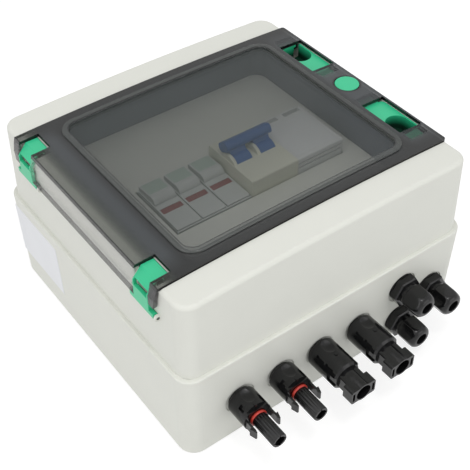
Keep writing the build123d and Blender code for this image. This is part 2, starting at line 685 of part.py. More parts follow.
# ---------------------------------------------------------------- door pieces
def door_cover():
    """Smoked door: arched plate, hinge skirt, window bead, latch openings and slider clips."""
    plate = door_section()
    upright = [e for e in plate.edges() if abs(e.center().X - DOOR_RIGHT_X) < TINY
               and abs(abs(e.center().Y) - DOOR_HALF_Y) < TINY]
    plate = fillet(upright, DOOR_CORNER_R)
    plate += window_bead()
    for side in (-1, 1):
        low = side * HINGE_Y - HINGE_NOTCH_W / 2
        high = side * HINGE_Y + HINGE_NOTCH_W / 2
        plate += notch_rims(side)
        plate -= box_between((SKIRT_OUT_X - 1, HINGE_NOTCH_X), (low, high), (SKIRT_LOW_Z - 1, 2 * LID_EDGE_Z))
        plate -= skirt_end_cut(side)
        y = tuple(sorted((side * LATCH_OPEN_NEAR, side * LATCH_OPEN_FAR)))
        x = (LATCH_X - LATCH_OPEN_W / 2, LATCH_X + LATCH_OPEN_W / 2)
        plate -= box_between(x, y, (LID_EDGE_Z - 5, 2 * LID_EDGE_Z))
        plate += latch_clips(side)
        for peg_x, peg_z in peg_places():
            reach = HINGE_NOTCH_W / 2 + HINGE_PEG_L
            plate -= rod_y(HINGE_PEG_R + TINY, side * HINGE_Y - reach, side * HINGE_Y + reach, peg_x, peg_z)
    top = door_top_z(LATCH_X)
    plate -= rod_z(PLUG_R + PLUG_RING, top - PLUG_T, top + 1, LATCH_X, 0)
    plate -= rod_z(PLUG_STEM_R + PLUG_FIT, top - 5, top + 1, LATCH_X, 0)
    return plate


def door_section():
    """Arched plate and hinge skirt as one section carried along Y."""
    edge = LID_EDGE_Z + DOOR_PROUD
    outer_mid = 0.0
    skirt_in = SKIRT_OUT_X + SKIRT_T
    inner_left = skirt_in + SKIRT_LEAN
    outer = ThreePointArc((DOOR_LEFT_X, edge + crown_z(DOOR_LEFT_X)), (outer_mid, edge + crown_z(outer_mid)),
                          (DOOR_RIGHT_X, edge + crown_z(DOOR_RIGHT_X)))
    under = edge - DOOR_T
    inner = ThreePointArc((DOOR_RIGHT_X, under + crown_z(DOOR_RIGHT_X)), (outer_mid, under + crown_z(outer_mid)),
                          (inner_left, under + crown_z(inner_left)))
    right = Line(outer @ 1, inner @ 0)
    skirt = Polyline(inner @ 1, (skirt_in, SKIRT_KNEE_Z), (skirt_in, SKIRT_LOW_Z), (SKIRT_OUT_X, SKIRT_LOW_Z),
                     (SKIRT_OUT_X, SKIRT_KNEE_Z), outer @ 0)
    outline = Plane.XZ * make_face([outer, right, inner, skirt])
    return extrude(outline, amount=DOOR_HALF_Y, both=True)


def notch_rims(side):
    """Walls under the door beside one hinge arm, which the arm's pegs snap into."""
    rims = []
    bottom = door_top_z(HINGE_BEND_X) - HINGE_NOTCH_DEPTH
    for hand in (-1, 1):
        near = side * HINGE_Y + hand * HINGE_NOTCH_W / 2
        y = tuple(sorted((near, near + hand * HINGE_NOTCH_RIM)))
        rims.append(box_between((HINGE_BEND_X, HINGE_ARM_X), y, (bottom, door_top_z(HINGE_BEND_X) - DOOR_T / 2)))
    return rims


def skirt_end_cut(side):
    """What is taken off the skirt outside a hinge: its lower end, and a leaning edge."""
    edge, inside = DOOR_HALF_Y, HINGE_Y + HINGE_NOTCH_W / 2 - 1
    points = [(edge, SKIRT_LEAN_Z), (edge - SKIRT_END_LEAN, SKIRT_END_Z), (inside, SKIRT_END_Z),
              (inside, SKIRT_LOW_Z - 1), (edge + 1, SKIRT_LOW_Z - 1), (edge + 1, SKIRT_LEAN_Z)]
    points = [(side * y, z) for y, z in points]
    return yz_prism(points, SKIRT_OUT_X - 1, SKIRT_OUT_X + SKIRT_T + SKIRT_LEAN)


def window_bead():
    """Raised rounded rim around the window, following the arch."""
    low = LID_EDGE_Z
    high = LID_EDGE_Z + DOOR_PROUD + CROWN + BEAD_H + 1
    outer = rounded_prism(2 * BEAD_X, 2 * BEAD_Y, BEAD_R, low, high)
    inner = rounded_prism(2 * (BEAD_X - BEAD_W), 2 * (BEAD_Y - BEAD_W), BEAD_R - BEAD_W, low - 1, high + 1)
    ring = (outer - inner) & arched_slab(-WIDTH, WIDTH, DEPTH, 0, LID_EDGE_Z + DOOR_PROUD + BEAD_H)
    crest = [e for e in ring.edges() if e.bounding_box().min.Z > LID_EDGE_Z + DOOR_PROUD + 1]
    ring = fillet(crest, BEAD_EDGE_R)
    return ring - arched_slab(-WIDTH - 1, WIDTH + 1, DEPTH + 1, -1, LID_EDGE_Z + DOOR_PROUD - DOOR_T / 2)


def strip_top_z():
    """Upper face of the slider's tails, just under the door."""
    return door_top_z(LATCH_X + STRIP_W / 2 + CLIP_T) - DOOR_T - CLIP_GAP


def latch_clips(side):
    """Two pairs of hooks under the door that hold the slider's tails."""
    clips = []
    root_z = door_top_z(LATCH_X) - DOOR_T / 2
    low_z = strip_top_z() - STRIP_T - CLIP_GAP - CLIP_T
    starts = (LATCH_NEAR - LATCH_TRAVEL - CLIP_LEN - CLIP_END_GAP, LATCH_FAR + CLIP_END_GAP)
    for start in starts:
        y = tuple(sorted((side * start, side * (start + CLIP_LEN))))
        for hand in (-1, 1):
            face = LATCH_X + hand * (STRIP_W / 2 + CLIP_GAP)
            back = face + hand * CLIP_T
            tip = face - hand * CLIP_LIP
            root = door_top_z(back) - DOOR_T / 2
            clips.append(box_between(tuple(sorted((face, back))), y, (low_z, min(root, root_z))))
            clips.append(box_between(tuple(sorted((tip, back))), y, (low_z, low_z + CLIP_T)))
    return clips


def peg_places():
    """X and Z of the pegs that lock a hinge arm into its notch in the door."""
    plate_z = door_top_z(HINGE_BEND_X) - HINGE_DROP - HINGE_ARM_T / 2
    return (((HINGE_BEND_X + HINGE_ARM_X) / 2, plate_z), (SKIRT_OUT_X + HINGE_ARM_T / 2, HINGE_PEG_Z))


def hinge_arm(side):
    """Green arm that wraps the hinge edge and ends in the barrel around the pin."""
    top = door_top_z(HINGE_BEND_X) - HINGE_DROP
    inner_wall = SKIRT_OUT_X + HINGE_ARM_T
    outer = [(HINGE_ARM_X, top), (HINGE_BEND_X, top), (SKIRT_OUT_X, SKIRT_KNEE_Z), (SKIRT_OUT_X, HINGE_AXIS_Z)]
    inner = [(inner_wall, HINGE_AXIS_Z), (inner_wall, SKIRT_KNEE_Z - 0.8),
             (HINGE_BEND_X + 0.4, top - HINGE_ARM_T), (HINGE_ARM_X, top - HINGE_ARM_T)]
    half = HINGE_ARM_W / 2
    low, high = side * HINGE_Y - half, side * HINGE_Y + half
    arm = xz_prism(outer + inner, low, high)
    slot_half = HINGE_SLOT_W / 2
    slot_y = (side * HINGE_Y - slot_half, side * HINGE_Y + slot_half)
    arm -= box_between((SKIRT_OUT_X - 1, HINGE_BEND_X), slot_y, (HINGE_SLOT_LOW_Z, HINGE_SLOT_HIGH_Z))
    foot_low, foot_high = foot_span(side)
    arm += rod_y(HINGE_BARREL_R, foot_low, foot_high, HINGE_AXIS_X, HINGE_AXIS_Z)
    foot_z = (HINGE_AXIS_Z, SKIRT_LOW_Z - 0.2)
    arm += box_between((SKIRT_OUT_X, inner_wall), (foot_low, foot_high), foot_z)
    for peg_x, peg_z in peg_places():
        reach = HINGE_NOTCH_W / 2 + HINGE_PEG_L - 0.2
        arm += rod_y(HINGE_PEG_R, side * HINGE_Y - reach, side * HINGE_Y + reach, peg_x, peg_z)
    arm -= rod_y(HINGE_PIN_R + HINGE_RUNNING, foot_low - 1, foot_high + 1, HINGE_AXIS_X, HINGE_AXIS_Z)
    return arm


def hinge_pins():
    """Steel pins held in the lid's lugs, one in each hinge."""
    pins = [rod_y(HINGE_PIN_R, *lug_span(side), HINGE_AXIS_X, HINGE_AXIS_Z) for side in (-1, 1)]
    return Compound(children=pins)


def latch_slider(side):
    """Green slider: hollow finger block, two tails under the door and the locking tongue."""
    top = strip_top_z() - LATCH_TOP_GAP + CLIP_GAP
    bottom = top - LATCH_DEPTH
    x = (LATCH_X - LATCH_W / 2, LATCH_X + LATCH_W / 2)
    block = box_between(x, (LATCH_NEAR, LATCH_FAR), (bottom, top))
    inner_corners = [e for e in block.edges() if abs(e.center().Y - LATCH_NEAR) < TINY
                     and e.bounding_box().size.Z > LATCH_DEPTH / 2]
    block = fillet(inner_corners, LATCH_CORNER_R)
    scoop_low = bottom + SCOOP_FLOOR_T
    centre_y = SCOOP_START + SCOOP_R
    scoop = rod_z(SCOOP_R, scoop_low, top + 1, LATCH_X, centre_y)
    scoop += box_between((LATCH_X - SCOOP_R, LATCH_X + SCOOP_R), (centre_y, LATCH_FAR + 1), (scoop_low, top + 1))
    block -= scoop
    tail_x = (LATCH_X - STRIP_W / 2, LATCH_X + STRIP_W / 2)
    tail_z = (strip_top_z() - STRIP_T, strip_top_z())
    block += box_between(tail_x, (STRIP_NEAR, LATCH_NEAR + 3), (tail_z[0], top))
    web_half = STRIP_W / 2 - CLIP_LIP - CLIP_GAP
    web_x = (LATCH_X - web_half, LATCH_X + web_half)
    web_y = (LATCH_OPEN_FAR + WEB_GAP, LATCH_OPEN_FAR + WEB_GAP + WEB_T)
    block += box_between(web_x, (LATCH_FAR - 1, web_y[1]), (bottom, scoop_low))
    block += box_between(web_x, web_y, (bottom, top))
    block += box_between(tail_x, (web_y[0], STRIP_FAR), (tail_z[0], top))
    tongue_x = (LATCH_X - TONGUE_X / 2, LATCH_X + TONGUE_X / 2)
    block += box_between(tongue_x, (LATCH_FAR - 2, TONGUE_END), (TONGUE_Z, TONGUE_Z + TONGUE_T))
    if side < 0:
        block = mirror(block, about=Plane.XZ)
    return block


def blanking_plug():
    """Round green plug snapped into the door between the latches."""
    top = door_top_z(LATCH_X)
    plug = rod_z(PLUG_R, top - PLUG_T, top + 0.2, LATCH_X, 0)
    plug = fillet(edges_at(plug, top + 0.2), 0.4)
    stem_low = top - PLUG_T - PLUG_STEM_L
    plug += rod_z(PLUG_STEM_R, stem_low, top - PLUG_T, LATCH_X, 0)
    plug -= rod_z(PLUG_STEM_R - 1.4, stem_low - 1, top - PLUG_T - 0.4, LATCH_X, 0)
    return plug


# ---------------------------------------------------------------- rail and devices
def rail_screw_xs():
    """Places of the two rail screws, beyond both ends of the device row."""
    reach = RAIL_OVERHANG / 2
    return ROW_LOW_X - reach, row_high_x() + reach


def earth_post_xs():
    """Places of the two posts under the earth bar."""
    return -EARTH_L / 2 + EARTH_W / 2, EARTH_L / 2 - EARTH_W / 2


def din_rail():
    """Top-hat rail folded from sheet, with a screw hole at each end."""
    high = RAIL_FRONT_Z
    low = high - RAIL_H
    half = RAIL_W / 2
    inner = RAIL_INNER_W / 2
    outline = [(-half, high), (-inner, high), (-inner, low + RAIL_T), (inner, low + RAIL_T), (inner, high),
               (half, high), (half, high - RAIL_T), (inner + RAIL_T, high - RAIL_T), (inner + RAIL_T, low),
               (-inner - RAIL_T, low), (-inner - RAIL_T, high - RAIL_T), (-half, high - RAIL_T)]
    placed = [(y + ROW_Y, z) for y, z in outline]
    rail = yz_prism(placed, ROW_LOW_X - RAIL_OVERHANG, row_high_x() + RAIL_OVERHANG)
    for x in rail_screw_xs():
        rail -= rod_z(RAIL_SCREW_R + 0.3, low - 1, high, x, ROW_Y)
    return rail


def rail_screws():
    """Pan-head screws that hold the rail to its posts."""
    seat = RAIL_FRONT_Z - RAIL_H + RAIL_T
    screws = []
    for x in rail_screw_xs():
        screw = rod_z(RAIL_SCREW_R, seat - RAIL_T - RAIL_SCREW_L + 1, seat, x, ROW_Y)
        head = rod_z(RAIL_SCREW_HEAD_R, seat, seat + RAIL_SCREW_HEAD_H, x, ROW_Y)
        screws.append(screw + fillet(edges_at(head, seat + RAIL_SCREW_HEAD_H), 0.8))
    return Compound(children=screws)


def device_profile(face_z):
    """Side outline of a rail device: stepped front, rail recess at the back."""
    body, nose = BODY_H / 2, NOSE_H / 2
    rail = RAIL_W / 2 + 0.3
    step = RAIL_FRONT_Z
    outline = [(-body, DEVICE_BACK_Z), (-rail, DEVICE_BACK_Z), (-rail, step + TINY), (rail, step + TINY),
               (rail, DEVICE_BACK_Z), (body, DEVICE_BACK_Z), (body, SHOULDER_Z - 10), (body - 4, SHOULDER_Z),
               (nose, SHOULDER_Z), (nose, face_z), (-nose, face_z), (-nose, SHOULDER_Z), (-body + 4, SHOULDER_Z),
               (-body, SHOULDER_Z - 10)]
    return [(y + ROW_Y, z) for y, z in outline]


def module_x(index):
    """Left side of a module counted from the left end of the row."""
    return ROW_LOW_X + MODULE * index


def terminal_places(first, count):
    """X and Y of the clamp screws of a device, in both of its end faces."""
    places = []
    for index in range(first, first + count):
        x = module_x(index) + MODULE / 2
        for sign in (-1, 1):
            places.append((x, ROW_Y + sign * (BODY_H / 2 - TERMINAL_INSET)))
    return places


def drill_terminals(body, first, count):
    """Clamp screw wells in the shoulders of a device."""
    for x, y in terminal_places(first, count):
        body -= rod_z(TERMINAL_R + 0.3, SHOULDER_Z - TERMINAL_DEPTH, SHOULDER_Z + 1, x, y)
    return body


def clamp_screws(first, count):
    """Slotted clamp screws at the bottom of the wells."""
    screws = []
    low = SHOULDER_Z - TERMINAL_DEPTH
    for x, y in terminal_places(first, count):
        screw = rod_z(TERMINAL_R, low, low + 2, x, y)
        screws.append(screw - Pos(x, y, low + 2) * Box(2 * TERMINAL_R, 1, 1.4))
    return Compound(children=screws)


def spd_base():
    """Base of the three-pole surge protector, with an open well for each cartridge."""
    left, right = module_x(0) + DEVICE_GAP, module_x(SPD_COUNT) - DEVICE_GAP
    base = yz_prism(device_profile(SPD_FACE_Z - 1.0), left, right)
    for index in range(SPD_COUNT):
        middle = module_x(index) + MODULE / 2
        half = CARTRIDGE_W / 2 + CARTRIDGE_GAP
        y_half = CARTRIDGE_H / 2 + CARTRIDGE_GAP
        well_y = (ROW_Y - y_half, ROW_Y + y_half)
        base -= box_between((middle - half, middle + half), well_y, (CARTRIDGE_FLOOR_Z, SPD_FACE_Z + 1))
    return drill_terminals(base, 0, SPD_COUNT)


def spd_cartridge(index):
    """Plug-in cartridge: flat face with a sunk flag window, and a narrower raised grip with a rounded front."""
    middle = module_x(index) + MODULE / 2
    low, high = ROW_Y - CARTRIDGE_H / 2, ROW_Y + CARTRIDGE_H / 2
    body = box_between((middle - CARTRIDGE_W / 2, middle + CARTRIDGE_W / 2), (low, high), (CARTRIDGE_FLOOR_Z, SPD_FACE_Z))
    body = fillet([e for e in body.edges() if e.bounding_box().size.Z > 20], 0.8)
    top = SPD_FACE_Z + GRIP_RISE
    heel = (GRIP_FOOT_Y, SPD_FACE_Z + GRIP_EDGE)
    crest = (GRIP_TOP_Y, top)
    bulge = (GRIP_FOOT_Y + 0.29 * (GRIP_TOP_Y - GRIP_FOOT_Y), SPD_FACE_Z + GRIP_EDGE + 0.71 * (GRIP_RISE - GRIP_EDGE))
    brow = ThreePointArc(heel, bulge, crest)
    rest = Polyline(crest, (high, top - GRIP_EDGE), (high, SPD_FACE_Z - 1), (GRIP_FOOT_Y, SPD_FACE_Z - 1), heel)
    grip = Plane.YZ * make_face([brow, rest])
    body += Pos(middle, 0, 0) * extrude(grip, amount=GRIP_W / 2, both=True)
    window = box_between((middle - FLAG_W / 2, middle + FLAG_W / 2), (FLAG_Y - FLAG_H / 2, FLAG_Y + FLAG_H / 2),
                         (SPD_FACE_Z - FLAG_T, SPD_FACE_Z + 1))
    return body - window


def spd_flags():
    """Status flags, one in the window of each cartridge."""
    flags = []
    for index in range(SPD_COUNT):
        middle = module_x(index) + MODULE / 2
        half_w, half_h = FLAG_W / 2 - 0.1, FLAG_H / 2 - 0.1
        flags.append(box_between((middle - half_w, middle + half_w), (FLAG_Y - half_h, FLAG_Y + half_h),
                                 (SPD_FACE_Z - FLAG_T, SPD_FACE_Z - 0.25)))
    return Compound(children=flags)


def toggle_xs():
    """Middle of each pole of the breaker."""
    return [module_x(SPD_COUNT + pole) + MODULE / 2 for pole in range(BREAKER_COUNT)]


def breaker_housing():
    """Two-pole breaker case with a round seat for each toggle."""
    left = module_x(SPD_COUNT) + DEVICE_GAP
    right = module_x(SPD_COUNT + BREAKER_COUNT) - DEVICE_GAP
    case = yz_prism(device_profile(BREAKER_FACE_Z), left, right)
    front = [e for e in case.edges() if abs(e.center().Z - BREAKER_FACE_Z) < TINY
             and e.bounding_box().size.X > MODULE]
    case = fillet(front, 1.2)
    for x in toggle_xs():
        guard_x = x - TOGGLE_W / 2 - TOGGLE_CLEAR - GUARD_T / 2
        case += Pos(guard_x, TOGGLE_AXIS_Y, TOGGLE_AXIS_Z) * Rot(0, 90, 0) * Cylinder(GUARD_R, GUARD_T)
    for x in toggle_xs():
        half = TOGGLE_W / 2 + TOGGLE_CLEAR
        seat = Pos(x, TOGGLE_AXIS_Y, TOGGLE_AXIS_Z) * Rot(0, 90, 0)
        case -= seat * Cylinder(TOGGLE_R + TOGGLE_CLEAR, 2 * half)
        case -= seat * Cylinder(TOGGLE_PIN_R + 0.05, 2 * half + 3)
    return drill_terminals(case, SPD_COUNT, BREAKER_COUNT)


def breaker_toggle():
    """Both toggles with their drums, journals and the tie bar that joins them."""
    poles = toggle_xs()
    axis = Pos(0, TOGGLE_AXIS_Y, TOGGLE_AXIS_Z)
    toggle = None
    for x in poles:
        drum = Pos(x, TOGGLE_AXIS_Y, TOGGLE_AXIS_Z) * Rot(0, 90, 0) * Cylinder(TOGGLE_R, TOGGLE_W)
        journal = Pos(x, TOGGLE_AXIS_Y, TOGGLE_AXIS_Z) * Rot(0, 90, 0) * Cylinder(TOGGLE_PIN_R, TOGGLE_W + 2.4)
        root = TOGGLE_R - 2
        lever = Pos(x, 0, root + LEVER_L / 2) * Box(TOGGLE_W, LEVER_T, LEVER_L)
        leg = axis * Rot(-TOGGLE_SWING / 2, 0, 0) * lever
        piece = drum + journal + leg
        toggle = piece if toggle is None else toggle + piece
    reach = TOGGLE_R - 2 + LEVER_L - 0.5
    span = poles[-1] - poles[0] + TOGGLE_W + 2 * TIE_OVERHANG
    section = Plane.YZ * RectangleRounded(TIE_W, TIE_T, TIE_EDGE_R)
    bar = Pos((poles[0] + poles[-1]) / 2, 0, reach) * extrude(section, amount=span / 2, both=True)
    return toggle + axis * Rot(-TOGGLE_SWING / 2, 0, 0) * bar


def companion_module():
    """Wide device beside the breaker, with two sunk slots near its upper edge."""
    first = SPD_COUNT + BREAKER_COUNT
    left, right = module_x(first) + DEVICE_GAP, row_high_x() - DEVICE_GAP
    case = yz_prism(device_profile(BREAKER_FACE_Z - 0.3), left, right)
    front = [e for e in case.edges() if abs(e.center().Z - BREAKER_FACE_Z + 0.3) < TINY
             and e.bounding_box().size.X > MODULE]
    case = fillet(front, 1.2)
    for index in range(COMPANION_COUNT):
        x = module_x(first + index) + MODULE / 2
        y = ROW_Y + NOSE_H / 2 - TOP_SLOT_INSET
        case -= Pos(x, y, BREAKER_FACE_Z) * Box(TOP_SLOT_L, TOP_SLOT_W, 2 * TOP_SLOT_D)
    for z in SIDE_GROOVE_ZS:
        side = ROW_Y - NOSE_H / 2
        case -= box_between((left - 1, right + 1), (side - 1, side + SIDE_GROOVE_D), (z, z + SIDE_GROOVE_W))
    return drill_terminals(case, first, COMPANION_COUNT)


def earth_bar():
    """Brass bar with cable clamp holes, screwed to two posts."""
    bar = box_between((-EARTH_L / 2, EARTH_L / 2), (EARTH_Y - EARTH_W / 2, EARTH_Y + EARTH_W / 2),
                      (EARTH_Z, EARTH_Z + EARTH_T))
    pitch = (EARTH_L - 2 * EARTH_W) / (EARTH_COUNT - 1)
    for index in range(EARTH_COUNT):
        x = -EARTH_L / 2 + EARTH_W + pitch * index
        bar -= rod_y(EARTH_HOLE_R, EARTH_Y - EARTH_W, EARTH_Y + EARTH_W, x, EARTH_Z + EARTH_T / 2)
    for x in earth_post_xs():
        bar -= rod_z(EARTH_SCREW_R + 0.1, EARTH_Z - 1, EARTH_Z + EARTH_T + 1, x, EARTH_Y)
    return bar


def earth_screws():
    """Two screws that fix the earth bar to its posts."""
    screws = []
    top = EARTH_Z + EARTH_T
    for x in earth_post_xs():
        screw = rod_z(EARTH_SCREW_R, FLOOR + 2, top, x, EARTH_Y)
        screws.append(screw + rod_z(EARTH_SCREW_R + 1.4, top, top + 2, x, EARTH_Y))
    return Compound(children=screws)


# ---------------------------------------------------------------- cable side pieces
def wall_inside_y(z):
    """Inner face of the cable wall at a height."""
    return -base_half_depth(z) + BASE_WALL


def thread_length(z):
    """From the spot face to the inner end of a lock nut with three turns to spare."""
    return wall_inside_y(z) - SEAT_Y + LOCK_NUT_T + 2.5


def threaded_back(radius, z):
    """Round stub through the wall, from the washer's face inwards, in the outward frame."""
    length = thread_length(z) + WASHER_T
    return Pos(0, 0, -length / 2) * Cylinder(radius, length)


def male_connector(x):
    """Pin-side solar connector: dimpled body with side windows, slit tube and two barbed spring arms."""
    z = CONNECTOR_Z
    body = extrude(Circle(MALE_BODY_R), amount=MALE_BODY_L - MALE_SHOULDER_L)
    body = fillet(edges_at(body, 0), MALE_BACK_R)
    front = extrude(RectangleRounded(2 * MALE_BODY_R, MALE_FRONT_H, 2.4), amount=MALE_BODY_L)
    body += Pos(0, 0, MALE_BACK_R) * front & extrude(Circle(MALE_BODY_R), amount=MALE_BODY_L)
    body = finger_dimples(body, MALE_BODY_R, DIMPLE_PLACE * MALE_BODY_L, 0.86 * MALE_BODY_L)
    for turn in (WINDOW_TURN, -WINDOW_TURN, 180 + WINDOW_TURN, 180 - WINDOW_TURN):
        window = Pos(0, MALE_BODY_R, WINDOW_PLACE * MALE_BODY_L) * Box(WINDOW_W, 2 * WINDOW_D, WINDOW_L)
        body -= Rot(0, 0, turn) * window
    body += extrude(Circle(TUBE_R), amount=MALE_TOTAL)
    body += extrude(Circle(TUBE_ROOT_R), amount=MALE_BODY_L + SEAL_RING_T)
    body -= Pos(0, 0, MALE_BODY_L) * extrude(Circle(TUBE_BORE_R), amount=MALE_TOTAL)
    for turn in (0, 90):
        slit = Pos(0, 0, MALE_TOTAL) * Box(2 * TUBE_R + 1, 1.0, 2 * TUBE_SLIT_D)
        body -= Rot(0, 0, turn) * slit
    for side in (-1, 1):
        body += spring_arm(side)
    body += threaded_back(THREAD_R, z)
    return outward(x, z, WASHER_T, body)


def finger_dimples(body, radius, hollow_z, dot_z):
    """Adds a round hollow and a small raised dot on the upper and lower side of a connector."""
    for side in (-1, 1):
        ball = Pos(0, side * (radius + DIMPLE_R - DIMPLE_D), hollow_z) * Sphere(DIMPLE_R)
        body -= ball
        place = Pos(0, side * (radius - 1), dot_z) * Rot(-90 * side, 0, 0)
        body += place * extrude(Circle(DOT_R), amount=1 + DOT_H)
    return body


def spring_arm(side):
    """Flexible arm with an arrow-shaped barb, beside the tube."""
    inner, outer = ARM_OFFSET, ARM_OFFSET + ARM_T
    start = MALE_BODY_L - 1
    barb_start = ARM_END - BARB_L
    points = [(inner, start), (outer, start), (outer, barb_start), (outer + BARB_OUT, barb_start),
              (outer, ARM_END), (inner + 0.4, ARM_END), (inner, ARM_END - 2)]
    outline = Plane.XZ * make_face(Polyline(*[(side * px, pz) for px, pz in points], close=True))
    return extrude(outline, amount=ARM_H / 2, both=True)


def seal_rings():
    """Red rings at the root of the male tubes."""
    rings = []
    for x in CONNECTOR_XS[:2]:
        ring = extrude(Circle(SEAL_RING_R) - Circle(TUBE_ROOT_R + 0.02), amount=SEAL_RING_T)
        ring = fillet(edges_at(ring, SEAL_RING_T), SEAL_RING_EDGE)
        rings.append(outward(x, CONNECTOR_Z, WASHER_T + MALE_BODY_L, ring))
    return Compound(children=rings)


def male_contacts():
    """Tinned pins inside the male tubes."""
    pins = []
    for x in CONNECTOR_XS[:2]:
        pin = extrude(Circle(PIN_CONTACT_R), amount=MALE_TOTAL - MALE_BODY_L - 6)
        pin = fillet(edges_at(pin, MALE_TOTAL - MALE_BODY_L - 6), 1.0)
        pins.append(outward(x, CONNECTOR_Z, WASHER_T + MALE_BODY_L, pin))
    return Compound(children=pins)


def female_connector(x):
    """Socket-side solar connector: round body with long side slots, neck and flat front block."""
    z = CONNECTOR_Z
    body = extrude(Circle(FEMALE_BODY_R), amount=FEMALE_BODY_L)
    body = fillet(edges_at(body, 0), MALE_BACK_R)
    body = chamfer(edges_at(body, FEMALE_BODY_L), 1.4)
    for side in (-1, 1):
        hollow = Pos(side * (FEMALE_BODY_R + 1), 0, FEMALE_BODY_L) * Box(2 * NOTCH_D + 2, SIDE_SLOT_H, 2 * NOTCH_L)
        body -= hollow
    body = finger_dimples(body, FEMALE_BODY_R, DIMPLE_PLACE * MALE_BODY_L, 0.86 * MALE_BODY_L)
    for turn in (DASH_TURN, -DASH_TURN, 180 + DASH_TURN, 180 - DASH_TURN):
        for start in DASH_STARTS:
            dash = Pos(0, FEMALE_BODY_R, start + DASH_L / 2) * Box(DASH_W, 2 * DASH_D, DASH_L)
            body -= Rot(0, 0, turn) * dash
    neck = RectangleRounded(FEMALE_NECK_W, FEMALE_NECK_H, 1.6) + Circle(FEMALE_NECK_R)
    body += extrude(neck, amount=FEMALE_NECK_END)
    face = RectangleRounded(FEMALE_BLOCK_W, FEMALE_NECK_H, 1.6) + Circle(FEMALE_NECK_R)
    body += Pos(0, 0, FEMALE_NECK_END - 0.5) * extrude(face, amount=FEMALE_TOTAL - FEMALE_NECK_END + 0.5)
    bore_start = FEMALE_TOTAL - FEMALE_BORE_D
    body -= Pos(0, 0, bore_start) * extrude(Circle(FEMALE_INNER_R), amount=FEMALE_BORE_D)
    body -= Pos(0, 0, FEMALE_TOTAL - FEMALE_MOUTH_D) * extrude(Circle(FEMALE_BORE_R), amount=FEMALE_MOUTH_D + 1)
    for side in (-1, 1):
        mouth_x = side * (FEMALE_BLOCK_W / 2 - 0.9 - SIDE_SLOT_W / 2)
        mouth = Pos(mouth_x, 0, FEMALE_TOTAL) * Box(SIDE_SLOT_W, SIDE_SLOT_H, 2 * (FEMALE_TOTAL - FEMALE_NECK_END) + 2)
        body -= mouth
    body += threaded_back(THREAD_R, z)
    return outward(x, z, WASHER_T, body)


def female_contacts():
    """Tinned sleeves at the bottom of the female bores."""
    sleeves = []
    length = FEMALE_BORE_D - 8
    for x in CONNECTOR_XS[2:]:
        sleeve = extrude(Circle(SOCKET_R) - Circle(SOCKET_BORE_R), amount=length)
        sleeves.append(outward(x, CONNECTOR_Z, WASHER_T + FEMALE_TOTAL - FEMALE_BORE_D, sleeve))
    return Compound(children=sleeves)


def washer(radius, bore, x, z):
    """Rubber washer between a spot face and what is screwed to it."""
    ring = extrude(Circle(radius) - Circle(bore), amount=WASHER_T)
    return outward(x, z, 0, ring)


def connector_washers():
    """Rubber washers of the four solar connectors."""
    return Compound(children=[washer(MALE_BODY_R - MALE_BACK_R, THREAD_R + TINY, x, CONNECTOR_Z) for x in CONNECTOR_XS])


def lock_nut(across_flats, bore, x, z):
    """Hexagon nut against the inside of the cable wall, where its flat meets the draft."""
    gap = BASE_DRAFT * across_flats / RIM_Z
    nut = hexagon(across_flats, LOCK_NUT_T) - extrude(Circle(bore + TINY), amount=LOCK_NUT_T)
    place = wall_inside_y(z) + gap
    return Pos(x, place + LOCK_NUT_T, z) * Rot(90, 0, 0) * nut


def connector_nuts():
    """Lock nuts of the four solar connectors."""
    return Compound(children=[lock_nut(LOCK_NUT_AF, THREAD_R, x, CONNECTOR_Z) for x in CONNECTOR_XS])


def gland_body(x, z):
    """Gland body: hexagon collar, round neck, thread through the wall and a clear bore."""
    body = hexagon(GLAND_AF, GLAND_FLANGE_T)
    body = chamfer(edges_at(body, GLAND_FLANGE_T), 0.8)
    body += extrude(Circle(GLAND_NECK_R), amount=GLAND_NECK_END)
    body += threaded_back(GLAND_THREAD_R, z)
    length = thread_length(z) + WASHER_T
    body -= Pos(0, 0, -length - 1) * extrude(Circle(GLAND_BORE_R), amount=length + GLAND_NECK_END + 2)
    body -= Pos(0, 0, DOME_START) * extrude(Circle(GLAND_SEAL_R), amount=GLAND_NECK_END)
    return outward(x, z, WASHER_T, body)


def dome_nut(x, z):
    """Domed compression nut with flats at its root and a rounded mouth."""
    radius = DOME_AF / math.sqrt(3)
    side = Line((radius, DOME_START), (radius, DOME_HEX_END))
    dome = ThreePointArc((radius, DOME_HEX_END), (DOME_TIP_R + (radius - DOME_TIP_R) * 0.74,
                                                  DOME_END - (DOME_END - DOME_HEX_END) * 0.3),
                         (DOME_TIP_R, DOME_END))
    rest = Polyline((DOME_TIP_R, DOME_END), (0, DOME_END), (0, DOME_START), (radius, DOME_START))
    turned = revolve(Plane.XZ * make_face([side, dome, rest]), axis=Axis.Z)
    prism = Pos(0, 0, DOME_START) * hexagon(DOME_AF, DOME_END - DOME_START)
    nut = turned & prism
    nut -= Pos(0, 0, DOME_START - 1) * extrude(Circle(GLAND_NECK_R + PLATE_GAP), amount=GLAND_NECK_END - DOME_START + 1.4)
    nut -= extrude(Circle(DOME_MOUTH_R), amount=DOME_END + 1)
    return outward(x, z, WASHER_T, nut)


def gland_seals():
    """Rubber sleeves that grip a cable inside the gland bodies."""
    seals = []
    length = GLAND_NECK_END - DOME_START
    for x, z in GLANDS:
        ring = extrude(Circle(GLAND_SEAL_R - 0.02) - Circle(CABLE_R), amount=length)
        seals.append(outward(x, z, WASHER_T + DOME_START, ring))
    return Compound(children=seals)


def gland_washers():
    """Rubber washers of the three cable glands."""
    return Compound(children=[washer(GLAND_AF / 2, GLAND_THREAD_R + TINY, x, z) for x, z in GLANDS])


def gland_nuts():
    """Lock nuts of the three cable glands."""
    return Compound(children=[lock_nut(GLAND_AF, GLAND_THREAD_R, x, z) for x, z in GLANDS])


